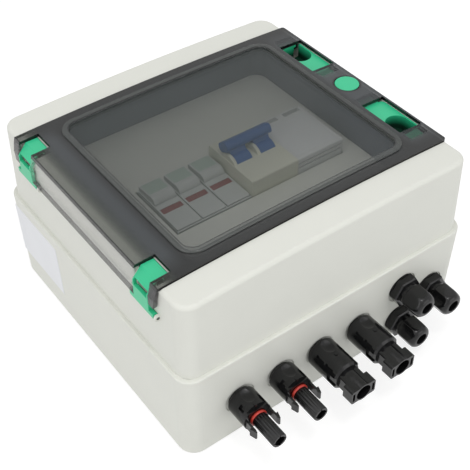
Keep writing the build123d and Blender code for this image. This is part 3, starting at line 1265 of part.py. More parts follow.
def side_label():
    """Bare paper label that follows the draft of the hinge-side wall."""
    def wall_x(z):
        return -(WIDTH / 2 - BASE_DRAFT * (1 - z / RIM_Z))
    points = [(wall_x(LABEL_LOW_Z), LABEL_LOW_Z), (wall_x(LABEL_HIGH_Z), LABEL_HIGH_Z),
              (wall_x(LABEL_HIGH_Z) - LABEL_T, LABEL_HIGH_Z), (wall_x(LABEL_LOW_Z) - LABEL_T, LABEL_LOW_Z)]
    return xz_prism(points, LABEL_LOW_Y, LABEL_HIGH_Y)


# ---------------------------------------------------------------- the whole box
def build():
    """Every node of the part by name."""
    nodes = {
        "base_housing": base_housing(),
        "lid_cover": lid_cover(),
        "lid_gasket": lid_gasket(),
        "door_gasket": door_seal_ring(DOOR_SEAL_D),
        "lid_screws": lid_screws(),
        "door_cover": door_cover(),
        "hinge_pins": hinge_pins(),
        "hinge_arm_near": hinge_arm(-1),
        "hinge_arm_far": hinge_arm(1),
        "latch_slider_near": latch_slider(-1),
        "latch_slider_far": latch_slider(1),
        "blanking_plug": blanking_plug(),
        "din_rail": din_rail(),
        "rail_screws": rail_screws(),
        "spd_base": spd_base(),
        "spd_flags": spd_flags(),
        "spd_clamp_screws": clamp_screws(0, SPD_COUNT),
        "breaker_housing": breaker_housing(),
        "breaker_toggle": breaker_toggle(),
        "companion_module": companion_module(),
        "breaker_clamp_screws": clamp_screws(SPD_COUNT, BREAKER_COUNT + COMPANION_COUNT),
        "earth_bar": earth_bar(),
        "earth_screws": earth_screws(),
        "seal_rings": seal_rings(),
        "male_contacts": male_contacts(),
        "female_contacts": female_contacts(),
        "connector_washers": connector_washers(),
        "connector_nuts": connector_nuts(),
        "gland_seals": gland_seals(),
        "gland_washers": gland_washers(),
        "gland_nuts": gland_nuts(),
        "side_label": side_label(),
    }
    for index in range(SPD_COUNT):
        nodes[f"spd_cartridge_{index + 1}"] = spd_cartridge(index)
    for index, x in enumerate(CONNECTOR_XS):
        maker = male_connector if index < 2 else female_connector
        kind = "male" if index < 2 else "female"
        nodes[f"{kind}_connector_{index % 2 + 1}"] = maker(x)
    for index, (x, z) in enumerate(GLANDS):
        nodes[f"gland_body_{index + 1}"] = gland_body(x, z)
        nodes[f"dome_nut_{index + 1}"] = dome_nut(x, z)
    return nodes


if __name__ == "__main__":
    os.makedirs("parts", exist_ok=True)
    for name, shape in build().items():
        export_step(shape, f"parts/{name}.step")
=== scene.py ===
"""Finishes and small visible pieces of a photovoltaic junction box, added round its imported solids.

Blender's units are metres. Sizes of the box and profiles of the pieces are worked out in millimetres.
The box lies on its back on z = 0, the cable side faces -Y and the hinges are at low X.
"""

import math

import bpy
import numpy as np
from bpy.props import FloatProperty, FloatVectorProperty, IntProperty, PointerProperty
from mathutils import Matrix, Vector


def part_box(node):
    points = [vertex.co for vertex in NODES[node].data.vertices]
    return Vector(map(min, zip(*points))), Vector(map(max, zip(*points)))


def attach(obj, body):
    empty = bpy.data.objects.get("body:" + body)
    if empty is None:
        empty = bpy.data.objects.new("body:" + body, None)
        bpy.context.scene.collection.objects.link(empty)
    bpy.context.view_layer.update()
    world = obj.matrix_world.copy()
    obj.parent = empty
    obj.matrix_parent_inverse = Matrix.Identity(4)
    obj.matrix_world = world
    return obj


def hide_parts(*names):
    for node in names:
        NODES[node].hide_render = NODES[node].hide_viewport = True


bl_info = {
    "name": "Photovoltaic junction box finishes",
    "version": (1, 0, 0),
    "blender": (4, 5, 0),
    "location": "View3D > Sidebar > Junction box",
    "description": "Dresses the solids of a wall-mounted junction box with smoked door and cable fittings",
    "category": "Object",
}

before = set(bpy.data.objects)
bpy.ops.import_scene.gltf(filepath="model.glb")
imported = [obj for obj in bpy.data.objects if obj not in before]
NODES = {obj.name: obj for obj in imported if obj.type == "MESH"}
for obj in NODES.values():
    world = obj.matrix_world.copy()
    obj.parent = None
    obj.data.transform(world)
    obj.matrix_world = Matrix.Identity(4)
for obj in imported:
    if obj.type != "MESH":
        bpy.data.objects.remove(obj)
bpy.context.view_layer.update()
MM = 0.001
WHITE = (1.0, 1.0, 1.0, 1.0)

# sizes of the box that finishes and pieces follow, in millimetres
DOOR_EDGE_Z = 125.8                 # door's outer face at the sides of the box
DOOR_HALF_WIDTH = 107.5
DOOR_CROWN = 2.3                    # rise of the arched front at its middle
BEAD = (81.0, 72.0, 12.0)           # raised bead of the window: half sizes and corner
WELL = (78.55, 75.0, 9.5)           # well at its fascia: half sizes and corner
WELL_SHIFT_X = 0.75
WELL_FLARE = 1.2 / 26.6             # how much the well's half width grows for its height
FASCIA_Z = 101.0
# section of the dark sheet that paints the shade on the well's walls: height, and how far it stands in from the
# well's wall
WELL_SHADE_SECTION = ((101.15, 0.12), (122.9, 0.12), (123.1, 0.35), (122.9, 0.6), (101.6, 0.6), (101.15, 0.35))
SEAT_Y = -103.8                     # outer face of the washers on the cable side
NUT_WIDEST = 1.14 * 1.03            # a dome nut's widest radius against half its flats
NUT_LIP = 0.05                      # how far its mouth's ring stands out
NUT_HOLLOW = 7.3                    # radius behind its mouth
GRIP_CREST_Y, GRIP_CREST_Z = 2.8, 106.8
GRIP_FALL = 0.8 / 12.2              # how much a cartridge's raised grip falls for its length
MODULE_TOP_Z = 112.2
SURGE_PLATE = (9.2, (6.6, 5.2), 0.6)       # bare plates: middle along Y, half sizes and corner
MODULE_PLATE = (-8.8, (16.2, 16.6), 0.8)

# zones of the smoked door, in millimetres
STRIP_X = -95.5                     # edge of the paler strip beside the hinges
SKIRT_X, SKIRT_INNER_X = -105.2, -103.6
SKIRT_LOW_Z, SKIRT_HIGH_Z = 105.6, 118.5
BEND_X = (-105.7, -104.3)           # dark line where the plate turns down
EAR_Y = 70.8                        # the skirt outside the hinges
END_Y = 79.1
RAIL_X = 84.0                       # border over hinges and latches
LATCH_X, LATCH_Y = (85.5, 101.5), (17.0, 66.5)
TAIL_X = (86.5, 101.5)
TAIL_Y = ((-67.5, -58.5), (15.5, 24.5))
# painted shadow lines inside and outside the bead
SHADOW_LINE_IN, SHADOW_LINE_OUT = (-4.9, -3.8), (0.1, 0.9)    # lines inside and outside the bead
# band of painted highlight on the bead's outer slope
BEAD_HIGHLIGHT = (-3.5, -0.1)
WINDOW_EDGE = -4.3
# painted shadow in the gap round the plug
PLUG_GAP = (-0.3, 1.5)


# ---------------------------------------------------------------- shader helpers
class Wire:
    """One output socket, with the arithmetic that shading needs."""

    def __init__(self, nodes, socket):
        self.nodes = nodes
        self.socket = socket

    def math(self, operation, *terms, clamp=False):
        """Math node of this value and other values or numbers."""
        sockets = dict(enumerate((self,) + terms))
        return self.nodes.make("ShaderNodeMath", {"operation": operation, "use_clamp": clamp}, sockets)

    def __add__(self, other):
        return self.math("ADD", other)

    __radd__ = __add__

    def __sub__(self, other):
        return self.math("SUBTRACT", other)

    def __rsub__(self, other):
        return (self * -1.0) + other

    def __mul__(self, other):
        return self.math("MULTIPLY", other)

    __rmul__ = __mul__

    def __abs__(self):
        return self.math("ABSOLUTE")

    def most(self, other):
        """The larger of two values."""
        return self.math("MAXIMUM", other)

    def least(self, other):
        """The smaller of two values."""
        return self.math("MINIMUM", other)

    def root(self):
        """Square root."""
        return self.math("SQRT")

    def above(self, edge, blur):
        """Zero below the edge and one above it, over a blur width."""
        return self.math("MULTIPLY_ADD", 1.0 / blur, 0.5 - edge / blur, clamp=True)

    def below(self, edge, blur):
        """One below the edge and zero above it, over a blur width."""
        return self.math("MULTIPLY_ADD", -1.0 / blur, 0.5 + edge / blur, clamp=True)

    def between(self, edges, blur):
        """One from the lower to the upper edge and zero outside them."""
        return self.above(edges[0], blur) * self.below(edges[1], blur)


class Nodes:
    """A node tree under construction."""

    def __init__(self, tree):
        self.tree = tree

    def make(self, kind, settings=None, sockets=None, out=0):
        """Adds one node: settings first, then values or links of its sockets. Gives one output, if it has any."""
        node = self.tree.nodes.new(kind)
        for key, value in (settings or {}).items():
            setattr(node, key, value)
        for key, value in (sockets or {}).items():
            socket = node.inputs[key]
            if isinstance(value, Wire):
                self.tree.links.new(value.socket, socket)
            else:
                socket.default_value = value
        return Wire(self, node.outputs[out]) if len(node.outputs) else None

    def looked_at(self):
        """One where the camera, gloss or clear plastic looks, and zero for light that falls on the box."""
        camera = self.make("ShaderNodeLightPath", out="Is Camera Ray")
        rays = camera.socket.node.outputs
        return camera.most(Wire(self, rays["Is Transmission Ray"])).most(Wire(self, rays["Is Glossy Ray"]))


class Finish(Nodes):
    """One node material with a Principled surface, under construction."""

    def __init__(self, name, colour, roughness, metallic=0.0, specular=0.5):
        self.material = bpy.data.materials.new(name)
        self.material.use_nodes = True
        self.material.diffuse_color = (*colour[:3], 1.0)
        super().__init__(self.material.node_tree)
        self.shader = self.tree.nodes["Principled BSDF"]
        self.colour = tuple(colour[:3])
        self.fix("Base Color", (*colour[:3], 1.0))
        self.fix("Roughness", roughness)
        self.fix("Metallic", metallic)
        self.fix("Specular IOR Level", specular)
        self.place = self.make("ShaderNodeTexCoord", out="Object")

    def fix(self, socket, value):
        """Sets a constant on the surface's own socket."""
        self.shader.inputs[socket].default_value = value

    def drive(self, socket, wire):
        """Joins a value that changes over the surface."""
        self.tree.links.new(wire.socket, self.shader.inputs[socket])

    def axes(self, *names):
        """Object coordinates in millimetres, one for each axis that is named."""
        outputs = self.make("ShaderNodeSeparateXYZ", None, {0: self.place}).socket.node.outputs
        return [Wire(self, outputs[name]) * (1.0 / MM) for name in names]

    def noise(self, cell, detail=2.0, stretch=None):
        """Noise from about 0.3 to 0.7 whose blobs are about one cell wide."""
        spot = self.place
        if stretch:
            spot = self.make("ShaderNodeVectorMath", {"operation": "MULTIPLY"}, {0: self.place, 1: stretch})
        return self.make("ShaderNodeTexNoise", None, {"Vector": spot, "Scale": 1.0 / cell, "Detail": detail})

    def blend(self, amount, low, high):
        """Colour that goes from low to high with the amount. Colours are a Mix node's sockets 6, 7 and output 2."""
        sockets = {0: amount, 6: as_colour(low), 7: as_colour(high)}
        return self.make("ShaderNodeMix", {"data_type": "RGBA", "clamp_factor": True}, sockets, out=2)

    def bump(self, height, depth):
        """Normal from a height of zero to one that stands a depth in metres."""
        return self.make("ShaderNodeBump", None, {"Height": height, "Distance": depth, "Strength": 1.0})

    def mottle(self, spread, cell=22 * MM):
        """Base colour with faint lighter and darker clouds."""
        cloud = (self.noise(cell, 3.0) - 0.5) * 2.0 + 0.5
        low = tuple(c * (1 - spread) for c in self.colour)
        high = tuple(min(1.0, c * (1 + spread)) for c in self.colour)
        self.drive("Base Color", self.blend(cloud, low, high))
        return cloud


def as_colour(value):
    """Four numbers for a colour socket, or the wire as it is."""
    return value if isinstance(value, Wire) else (*value[:3], 1.0)


def frame_distance(x, y, half_x, half_y, radius):
    """Distance outside a rounded rectangle, negative inside it.

    With q = |place| - half size + radius, it is the length of q's positive part, plus its larger side where
    that is negative, less the radius.
    """
    across = abs(x) + (radius - half_x)
    along = abs(y) + (radius - half_y)
    wide, high = across.most(0.0), along.most(0.0)
    return (wide * wide + high * high).root() + across.most(along).least(0.0) - radius


def moulded(name, colour, roughness, grain=0.45 * MM, depth=0.012 * MM, spread=0.02):
    """Moulded plastic: fine spark grain, faint clouds of tone and a slightly uneven gloss."""
    finish = Finish(name, colour, roughness)
    cloud = finish.mottle(spread)
    fine = finish.noise(grain)
    finish.drive("Roughness", (cloud - 0.5) * 0.06 + (fine - 0.5) * 0.12 + roughness)
    finish.drive("Normal", finish.bump(fine, depth))
    return finish


def gloss_black(name, colour):
    """Black moulded plastic: polished, with flow marks, a fine grain and dull rubbed patches."""
    polish = 0.13
    finish = Finish(name, colour, polish, specular=0.36)
    finish.mottle(0.25)
    rubbed = finish.noise(4 * MM, 3.0).between((0.56, 1.0), 0.1)
    grain = finish.noise(0.3 * MM)
    finish.drive("Roughness", (grain - 0.5) * 0.08 + rubbed * 0.12 + polish)
    flow = finish.noise(3 * MM, stretch=(1.0, 0.25, 1.0))
    finish.drive("Normal", finish.bump(flow, 0.03 * MM))
    return finish


def metal(name, colour, roughness, brush=None):
    """Plated or brushed metal with drawn scratches and dull patches."""
    finish = Finish(name, colour, roughness, metallic=1.0)
    cloud = finish.mottle(0.06, 6 * MM)
    lines = finish.noise(0.35 * MM, stretch=brush)
    finish.drive("Roughness", (cloud - 0.5) * 0.2 + (lines - 0.5) * 0.2 + roughness)
    finish.drive("Normal", finish.bump(lines, 0.006 * MM))
    return finish


def dress(finish, *names):
    """Gives CAD nodes a finish."""
    for name in names:
        slots = NODES[name].data.materials
        if not len(slots):
            slots.append(finish.material)
        for index in range(len(slots)):
            slots[index] = finish.material


# ---------------------------------------------------------------- surfaces
def full_turn(count):
    """Angles of a whole turn, the last one left out."""
    return np.linspace(0.0, 2 * np.pi, count, endpoint=False)


def hex_radius(flats, turn, power=60.0):
    """Radius of a hexagon with soft corners: half the flats over the p-norm of the cosines to three axes."""
    axes = np.array([np.pi / 2, np.pi / 6, -np.pi / 6])
    return flats / 2 * (np.abs(np.cos(turn[:, None] - axes)) ** power).sum(1) ** (-1 / power)


def softer_least(first, second, power=26.0):
    """Smaller of two positive arrays, rounded where they cross: the p-norm of their inverses, inverted."""
    return (first ** -power + second ** -power) ** (-1 / power)


def frame_points(half_x, half_y, radius, count=12):
    """Rounded rectangle: a quarter circle round each corner's centre, joined by the straight sides."""
    turn = (np.linspace(0, np.pi / 2, count)[None, :] + np.arange(4)[:, None] * np.pi / 2).ravel()
    corner = np.repeat(np.array([(1, 1), (-1, 1), (-1, -1), (1, -1)], float), count, axis=0)
    x = corner[:, 0] * (half_x - radius) + radius * np.cos(turn)
    y = corner[:, 1] * (half_y - radius) + radius * np.sin(turn)
    return np.stack([x, y], 1)


def turned(radii, outs, turn, centre):
    """Rings round an axis that points to -Y: x and z follow the angle, y goes out from the washers' seat."""
    radii = np.broadcast_to(radii, (len(outs), len(turn)))
    x = centre[0] + radii * np.cos(turn)
    z = centre[1] + radii * np.sin(turn)
    y = np.broadcast_to(SEAT_Y - np.asarray(outs, float)[:, None], x.shape)
    return np.stack([x, y, z], -1)


def ring_mesh(name, grid, finish, loop=True, body="enclosure"):
    """Closed piece from rings of points in millimetres: grid[ring, turn] = place.

    The last ring joins the first one, or else both end rings close in a fan round their mean point. The faces
    turn outwards where the volume that they enclose is positive.
    """
    rings, turns = grid.shape[:2]
    points = grid.reshape(-1, 3) * MM
    row = np.arange(rings if loop else rings - 1)[:, None]
    col = np.arange(turns)[None, :]
    after, beside = (row + 1) % rings, (col + 1) % turns
    quads = np.stack([row * turns + col, row * turns + beside, after * turns + beside, after * turns + col], -1)
    quads = quads.reshape(-1, 4)
    tips = np.empty((0, 3), int)
    if not loop:
        points = np.concatenate([points, np.stack([grid[0].mean(0), grid[-1].mean(0)]) * MM])
        last, centre = (rings - 1) * turns, np.full(turns, rings * turns)
        low, low_next = col.ravel(), beside.ravel()
        tips = np.concatenate([np.stack([low_next, low, centre], 1),
                               np.stack([low + last, low_next + last, centre + 1], 1)])
    a, b, c, d = (points[quads[:, k]] for k in range(4))
    volume = (np.cross(a, b) * c).sum() + (np.cross(a, c) * d).sum()
    volume += (np.cross(points[tips[:, 0]], points[tips[:, 1]]) * points[tips[:, 2]]).sum()
    if volume < 0:
        quads, tips = quads[:, ::-1], tips[:, ::-1]
    mesh = bpy.data.meshes.new(name)
    mesh.from_pydata(points.tolist(), [], quads.tolist() + tips.tolist())
    mesh.update()
    piece = bpy.data.objects.new(name, mesh)
    bpy.context.scene.collection.objects.link(piece)
    mesh.materials.append(finish.material)
    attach(piece, body)
    return piece


def smooth(piece, angle):
    """Smooth shading, with hard edges where faces meet at more than an angle in degrees."""
    piece.data.shade_smooth()
    piece.data.set_sharp_from_angle(angle=math.radians(angle))
    return piece


def axis_of(node):
    """X and Z of the middle of a node, in millimetres."""
    low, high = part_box(node)
    return (low[0] + high[0]) / 2 / MM, (low[2] + high[2]) / 2 / MM


def bare_plate(name, middle, half, radius, height, thick, finish):
    """Thin plate with soft edges that lies on a height function of x and y, as stacked rounded rectangles."""
    rings = []
    edge = thick / 2
    for inset, lift in ((0.0, 0.0), (0.0, thick - edge), (edge, thick), (min(half) * 0.6, thick)):
        xy = frame_points(half[0] - inset, half[1] - inset, max(radius - inset, 0.05)) + np.array(middle)
        rings.append(np.column_stack([xy, height(xy[:, 0], xy[:, 1]) + lift]))
    return ring_mesh(name, np.stack(rings), finish, loop=False)


# ---------------------------------------------------------------- settings
def tone(name, description, default):
    """A linear colour that a user can change."""
    return FloatVectorProperty(name=name, description=description, default=default, size=3, min=0.0, max=1.0,
                               subtype="COLOR")


def opacity(name, description, default):
    """Share of light that one face holds back."""
    return FloatProperty(name=name, description=description, default=default, min=0.0, max=1.0, subtype="FACTOR")


def length(name, description, millimetres):
    """A length, given in millimetres and kept in metres."""
    return FloatProperty(name=name, description=description, default=millimetres * MM, min=0.0, precision=5,
                         unit="LENGTH")


def lamp_power(name, description, default):
    """Power of a lamp in watts."""
    return FloatProperty(name=name, description=description, default=default, min=0.0, unit="POWER")


def camera_angle(name, description, degrees):
    """An angle, given in degrees and kept in radians."""
    return FloatProperty(name=name, description=description, default=math.radians(degrees), subtype="ANGLE")


class PVBOX_PG_finishes(bpy.types.PropertyGroup):
    """Colours of the box and of what is on it."""
    shell: tone("Shell", "Light grey moulding of base and lid", (0.75, 0.757, 0.70))
    green: tone("Green fittings", "Hinge arms, latch sliders and plug", (0.034, 0.56, 0.28))
    black: tone("Black fittings", "Solar connectors and cable glands", (0.007, 0.007, 0.0075))
    smoke: tone("Smoke", "Tint of the door's near and far border", (0.022, 0.0235, 0.0235))
    rails: tone("Smoke over hinges and latches", "Tint of the door's side borders", (0.057, 0.064, 0.069))
    tint: tone("Window tint", "Tint of the door's window", (0.050, 0.062, 0.055))
    haze: tone("Hinge strip tint", "Tint of the paler strip beside the hinges", (0.082, 0.094, 0.078))
    # painted shade: colour of the dark sheet that stands in for the shade on the well's walls
    lining: tone("Well lining", "Dark lining of the well's walls", (0.18, 0.19, 0.235))
    paper: tone("Label", "Bare label on the hinge side", (0.80, 0.81, 0.84))
    cream: tone("Breaker", "Case of the two-pole breaker", (0.76, 0.76, 0.64))
    white: tone("Wide module", "Case of the module beside the breaker", (0.72, 0.73, 0.72))
    module_paper: tone("Module plate", "Bare plate on the wide module", (0.74, 0.75, 0.75))
    pale: tone("Surge protector", "Base and cartridges", (0.62, 0.64, 0.62))
    surge_paper: tone("Cartridge plates", "Bare plates on the cartridges", (0.47, 0.57, 0.50))
    blue: tone("Toggle", "Joined toggles of the breaker", (0.03, 0.12, 0.38))
    flag: tone("Flags", "Status windows of the cartridges", (0.27, 0.06, 0.06))
    red: tone("Seal rings", "Rings on the pin-side connectors", (0.50, 0.037, 0.024))


class PVBOX_PG_door(bpy.types.PropertyGroup):
    """How much of the light each face of the smoked door holds back."""
    window: opacity("Window", "Opacity at the near side of the window", 0.272)
    # painted shade: the window holds back more light towards its far side, which darkens the interior seen there
    far: opacity("Far window", "Opacity at the far side of the window", 0.355)
    # painted highlight: the bead's outer slope is clearer and paler than the border
    bead: opacity("Bead", "Opacity of the raised bead", 0.7)
    border: opacity("Border", "Opacity outside the bead", 0.85)
    tubs: opacity("Over the latches", "Opacity over the latch sliders", 0.62)
    tails: opacity("Latch tails", "Opacity over the near ends of the latches", 0.42)
    strip: opacity("Hinge strip", "Opacity beside the hinges", 0.35)
    skirt: opacity("Skirt", "Opacity of the turned-down edge", 0.12)


class PVBOX_PG_pieces(bpy.types.PropertyGroup):
    """Sizes of the pieces that are made here."""
    nut_flats: length("Nut flats", "Width of a dome nut across its flats", 15.8)
    nut_start: length("Nut start", "Foot of a dome nut, out from the washers", 8.4)
    nut_shoulder: length("Nut shoulder", "Where the round nose starts, out from the washers", 14.6)
    nut_end: length("Nut end", "Front of the nose, out from the washers", 22.4)
    nut_nose: length("Nose radius", "Outer radius of the flat ring at the mouth", 4.9)
    nut_bore: length("Nose bore", "Radius of the mouth", 4.05)
    flutes: IntProperty(name="Flutes", description="Ridges round the tube of a connector", default=16, min=4)
    flute_height: length("Flute height", "Rise of a ridge", 0.3)
    sleeve_start: length("Sleeve start", "Start of the fluted sleeve, out from the washers", 18.7)
    sleeve_end: length("Sleeve end", "End of the fluted sleeve, out from the washers", 37.15)
    ring_radius: length("Ring radius", "Middle radius of a seal ring's section", 5.12)
    ring_height: length("Ring height", "Half height of a seal ring's section", 0.56)
    ring_width: length("Ring width", "Half width of a seal ring's section", 0.92)
    plate: length("Plate thickness", "Thickness of the bare plates", 0.12)


class PVBOX_PG_stage(bpy.types.PropertyGroup):
    """Camera and lights."""
    lens: FloatProperty(name="Lens", description="Focal length", default=73.704, unit="CAMERA")
    azimuth: camera_angle("Azimuth", "Turn of the camera", -36.17)
    elevation: camera_angle("Elevation", "Height angle of the camera", 43.57)
    roll: camera_angle("Roll", "Tilt of the camera", -0.43)
    spot: FloatVectorProperty(name="Place", description="Place of the camera", size=3, subtype="TRANSLATION",
                              default=(-0.27202, -0.37624, 0.48580))
    sky: FloatProperty(name="Sky", description="Strength of the even light", default=0.55, min=0.0)
    key: lamp_power("Key", "Power of the lamp overhead", 6.6)
    spark: lamp_power("Spark", "Power of the small lamp that makes highlights", 2.6)
    side: lamp_power("Side", "Power of the lamp on the hinge side", 3.4)
    front: lamp_power("Front", "Power of the lamp on the cable side", 3.45)


# ---------------------------------------------------------------- operators
class PVBOX_OT_shell(bpy.types.Operator):
    """Finish the base, the lid and what seals them"""
    bl_idname = "pvbox.shell"
    bl_label = "Shell"

    def execute(self, context):
        shell = moulded("shell_plastic", context.scene.pvbox_finishes.shell, 0.5, spread=0.012)
        dress(shell, "base_housing", "lid_cover")
        rubber = moulded("seal_rubber", (0.02, 0.02, 0.02), 0.7, depth=0.02 * MM)
        dress(rubber, "lid_gasket", "connector_washers", "gland_washers", "gland_seals")
        foam = moulded("seal_foam", (0.15, 0.16, 0.19), 0.8, grain=0.8 * MM, depth=0.02 * MM)
        dress(foam, "door_gasket")
        return {"FINISHED"}


class PVBOX_OT_well_shade(bpy.types.Operator):
    """Make the dark sheet that paints the shade on the well's walls: a drafted rounded rectangle, thin all round"""
    bl_idname = "pvbox.lining"
    bl_label = "Well lining"

    def execute(self, context):
        dull = 0.6
        # painted shade: a dark sheet over the well's walls, where there is only shade
        finish = Finish("well_shade_plastic", context.scene.pvbox_finishes.lining, dull)
        cloud = finish.mottle(0.05)
        finish.drive("Roughness", (cloud - 0.5) * 0.08 + dull)
        half_x, half_y, corner = WELL
        rings = []
        for z, inset in WELL_SHADE_SECTION:
            grow = WELL_FLARE * (z - FASCIA_Z) - inset
            xy = frame_points(half_x + grow, half_y + grow, corner - inset) + np.array([WELL_SHIFT_X, 0.0])
            rings.append(np.column_stack([xy, np.full(len(xy), z)]))
        smooth(ring_mesh("well_shade_sheet", np.stack(rings), finish), 30)
        return {"FINISHED"}


class PVBOX_OT_door(bpy.types.Operator):
    """Finish the smoked door: clear window, raised bead, dark border, paler hinge strip, skirt and black edges"""
    bl_idname = "pvbox.door"
    bl_label = "Smoked door"

    def execute(self, context):
        colours = context.scene.pvbox_finishes
        polish = 0.14
        finish = Finish("smoked_plastic", colours.smoke, polish, specular=0.45)
        zones = door_zones(finish)
        finish.drive("Alpha", door_opacity(zones, context.scene.pvbox_door))
        finish.drive("Base Color", door_tint(finish, zones, colours))
        grain = finish.noise(0.5 * MM)
        finish.drive("Roughness", (grain - 0.5) * 0.06 + zones["window"] * -0.04 + polish)
        finish.drive("Normal", finish.bump(finish.noise(30 * MM), 0.12 * MM))
        dress(finish, "door_cover")
        return {"FINISHED"}


def door_depth(x, z):
    """How far a point lies under the door's arched top: edge height and a parabola's rise, less z."""
    bow = x * (1.0 / DOOR_HALF_WIDTH)
    return (1.0 - bow * bow) * DOOR_CROWN + DOOR_EDGE_Z - z


def door_zones(finish):
    """Masks of the smoked door, each one inside its zone and zero outside it."""
    x, y, z = finish.axes("X", "Y", "Z")
    depth = door_depth(x, z)
    bead = frame_distance(x, y, *BEAD)
    clear_of_bead = bead.above(2.2, 0.6)
    skirt = x.below(SKIRT_X, 0.9).most(x.below(SKIRT_INNER_X, 0.4) * depth.above(2.6, 0.3))
    rim = depth.between((0.2, 2.12), 0.08) * (1.0 - skirt) * clear_of_bead
    ribs = depth.above(2.5, 0.1) * (1.0 - skirt) * clear_of_bead
    bend = x.between(BEND_X, 0.3) * depth.below(2.2, 0.3)
    # painted shadow lines inside and outside the bead and round the plug; the inner line fades at the far and right
    # sides
    far_or_right = x.above(66.0, 14.0).most(y.above(58.0, 14.0))
    groove = bead.between(SHADOW_LINE_IN, 0.4) * (1.0 - far_or_right * 0.93) + bead.between(SHADOW_LINE_OUT, 0.4) * 0.6
    low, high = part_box("blanking_plug")
    radius = (high[0] - low[0]) / 2 / MM
    plug = frame_distance(x - (low[0] + high[0]) / 2 / MM, y - (low[1] + high[1]) / 2 / MM, radius, radius, radius)
    tails = y.between(TAIL_Y[0], 1.2) + y.between(TAIL_Y[1], 1.2)
    return {
        "window": bead.below(WINDOW_EDGE, 0.5),
        # painted shade: zone where the window's opacity rises towards its far side
        "far": y.above(-22.0, 56.0),
        "bead_highlight": bead.between(BEAD_HIGHLIGHT, 0.5),
        "groove": groove.most(plug.between(PLUG_GAP, 0.3)),
        "rails": abs(x).above(RAIL_X, 6.0) * abs(y).below(68.0, 14.0),
        "tubs": x.between(LATCH_X, 1.6) * abs(y).between(LATCH_Y, 1.6),
        "tails": tails * x.between(TAIL_X, 1.2),
        "strip": x.below(STRIP_X, 9.0),
        "skirt": skirt,
        "skirt_top": skirt * z.above(SKIRT_HIGH_Z, 3.0),
        "skirt_edge": z.below(SKIRT_LOW_Z, 0.1).most(abs(y).above(END_Y, 0.1)) * skirt,
        "ears": skirt * abs(y).above(EAR_Y, 0.6),
        "black": rim.most(ribs).most(bend * 0.9).least(1.0),
    }


def door_opacity(zones, smoke):
    """Opacity of one face: each zone moves it from the border's, and dark lines, painted shadow lines among them, and
    cut edges come last.
    """
    # painted shade: opacity rises from the near to the far side of the window
    clear = zones["far"] * (smoke.far - smoke.window) + smoke.window
    alpha = zones["window"] * (clear - smoke.border) + smoke.border
    alpha = alpha + zones["tubs"] * (smoke.tubs - smoke.border)
    alpha = alpha * (1.0 - zones["tails"]) + zones["tails"] * smoke.tails
    # painted highlight: the bead's outer slope lets more light through
    alpha = alpha + zones["bead_highlight"] * (smoke.bead - smoke.border)
    alpha = alpha + zones["strip"] * (1.0 - zones["skirt"]) * (smoke.strip - smoke.border)
    alpha = alpha + zones["skirt"] * (smoke.skirt - smoke.border)
    alpha = alpha + zones["ears"] * 0.5 + zones["skirt_top"] * 0.06
    return alpha.most(zones["groove"] * 0.93).most(zones["black"]).most(zones["skirt_edge"] * 0.75).least(1.0)


def door_tint(finish, zones, colours):
    """Colour of the plastic, blended zone after zone."""
    tint = colours.smoke
    for zone, colour in (("rails", colours.rails), ("window", colours.tint), ("strip", colours.haze),
                         # painted highlight on the bead's outer slope
                         ("bead_highlight", (0.078, 0.086, 0.082)), ("skirt", (0.46, 0.46, 0.46)),
                         # painted shadow lines along the bead and round the plug
                         ("ears", (0.09, 0.085, 0.09)), ("groove", (0.012, 0.012, 0.013))):
        tint = finish.blend(zones[zone], tint, colour)
    return finish.blend(zones["black"].most(zones["skirt_edge"] * 0.8), tint, (0.008, 0.008, 0.009))


class PVBOX_OT_green(bpy.types.Operator):
    """Finish the green hinge arms, latch sliders and plug, with painted shade below their tops, down in hollows and
    gaps
    """
    bl_idname = "pvbox.green"
    bl_label = "Green fittings"

    def execute(self, context):
        green = context.scene.pvbox_finishes.green
        arms = moulded("green_arms", green, 0.38, depth=0.006 * MM, spread=0.03)
        dress(arms, "hinge_arm_near", "hinge_arm_far")
        sliders = moulded("green_sliders", green, 0.36, depth=0.006 * MM, spread=0.03)
        # painted shade down in the sliders' scoops and in the gap round the plug
        paint_depth_shade(sliders, "latch_slider_near", (0.35, 7.0))
        dress(sliders, "latch_slider_near", "latch_slider_far")
        plug = moulded("green_plug", green, 0.36, depth=0.006 * MM, spread=0.03)
        paint_depth_shade(plug, "blanking_plug", (0.12, 0.5))
        dress(plug, "blanking_plug")
        return {"FINISHED"}


def paint_depth_shade(finish, node, depths):
    """Painted shade: colour that goes to a deep shade between two depths below a node's top, in millimetres, standing
    in for the shade in hollows and gaps.
    """
    z, = finish.axes("Z")
    down = z.below(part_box(node)[1][2] / MM - sum(depths) / 2, depths[1] - depths[0])
    shade = tuple(c * 0.05 for c in finish.colour)
    pale = finish.shader.inputs["Base Color"].links[0].from_socket
    finish.drive("Base Color", finish.blend(down, Wire(finish, pale), shade))


class PVBOX_OT_devices(bpy.types.Operator):
    """Finish the surge protector, the breaker and the wide module"""
    bl_idname = "pvbox.devices"
    bl_label = "Rail devices"

    def execute(self, context):
        colours = context.scene.pvbox_finishes
        dress(moulded("breaker_plastic", colours.cream, 0.45), "breaker_housing")
        dress(moulded("module_plastic", colours.white, 0.45), "companion_module")
        dress(moulded("surge_plastic", colours.pale, 0.5), "spd_base", "spd_cartridge_1", "spd_cartridge_2",
              "spd_cartridge_3")
        dress(moulded("toggle_plastic", colours.blue, 0.35, depth=0.004 * MM), "breaker_toggle")
        dress(moulded("flag_plastic", colours.flag, 0.3, depth=0.003 * MM), "spd_flags")
        return {"FINISHED"}


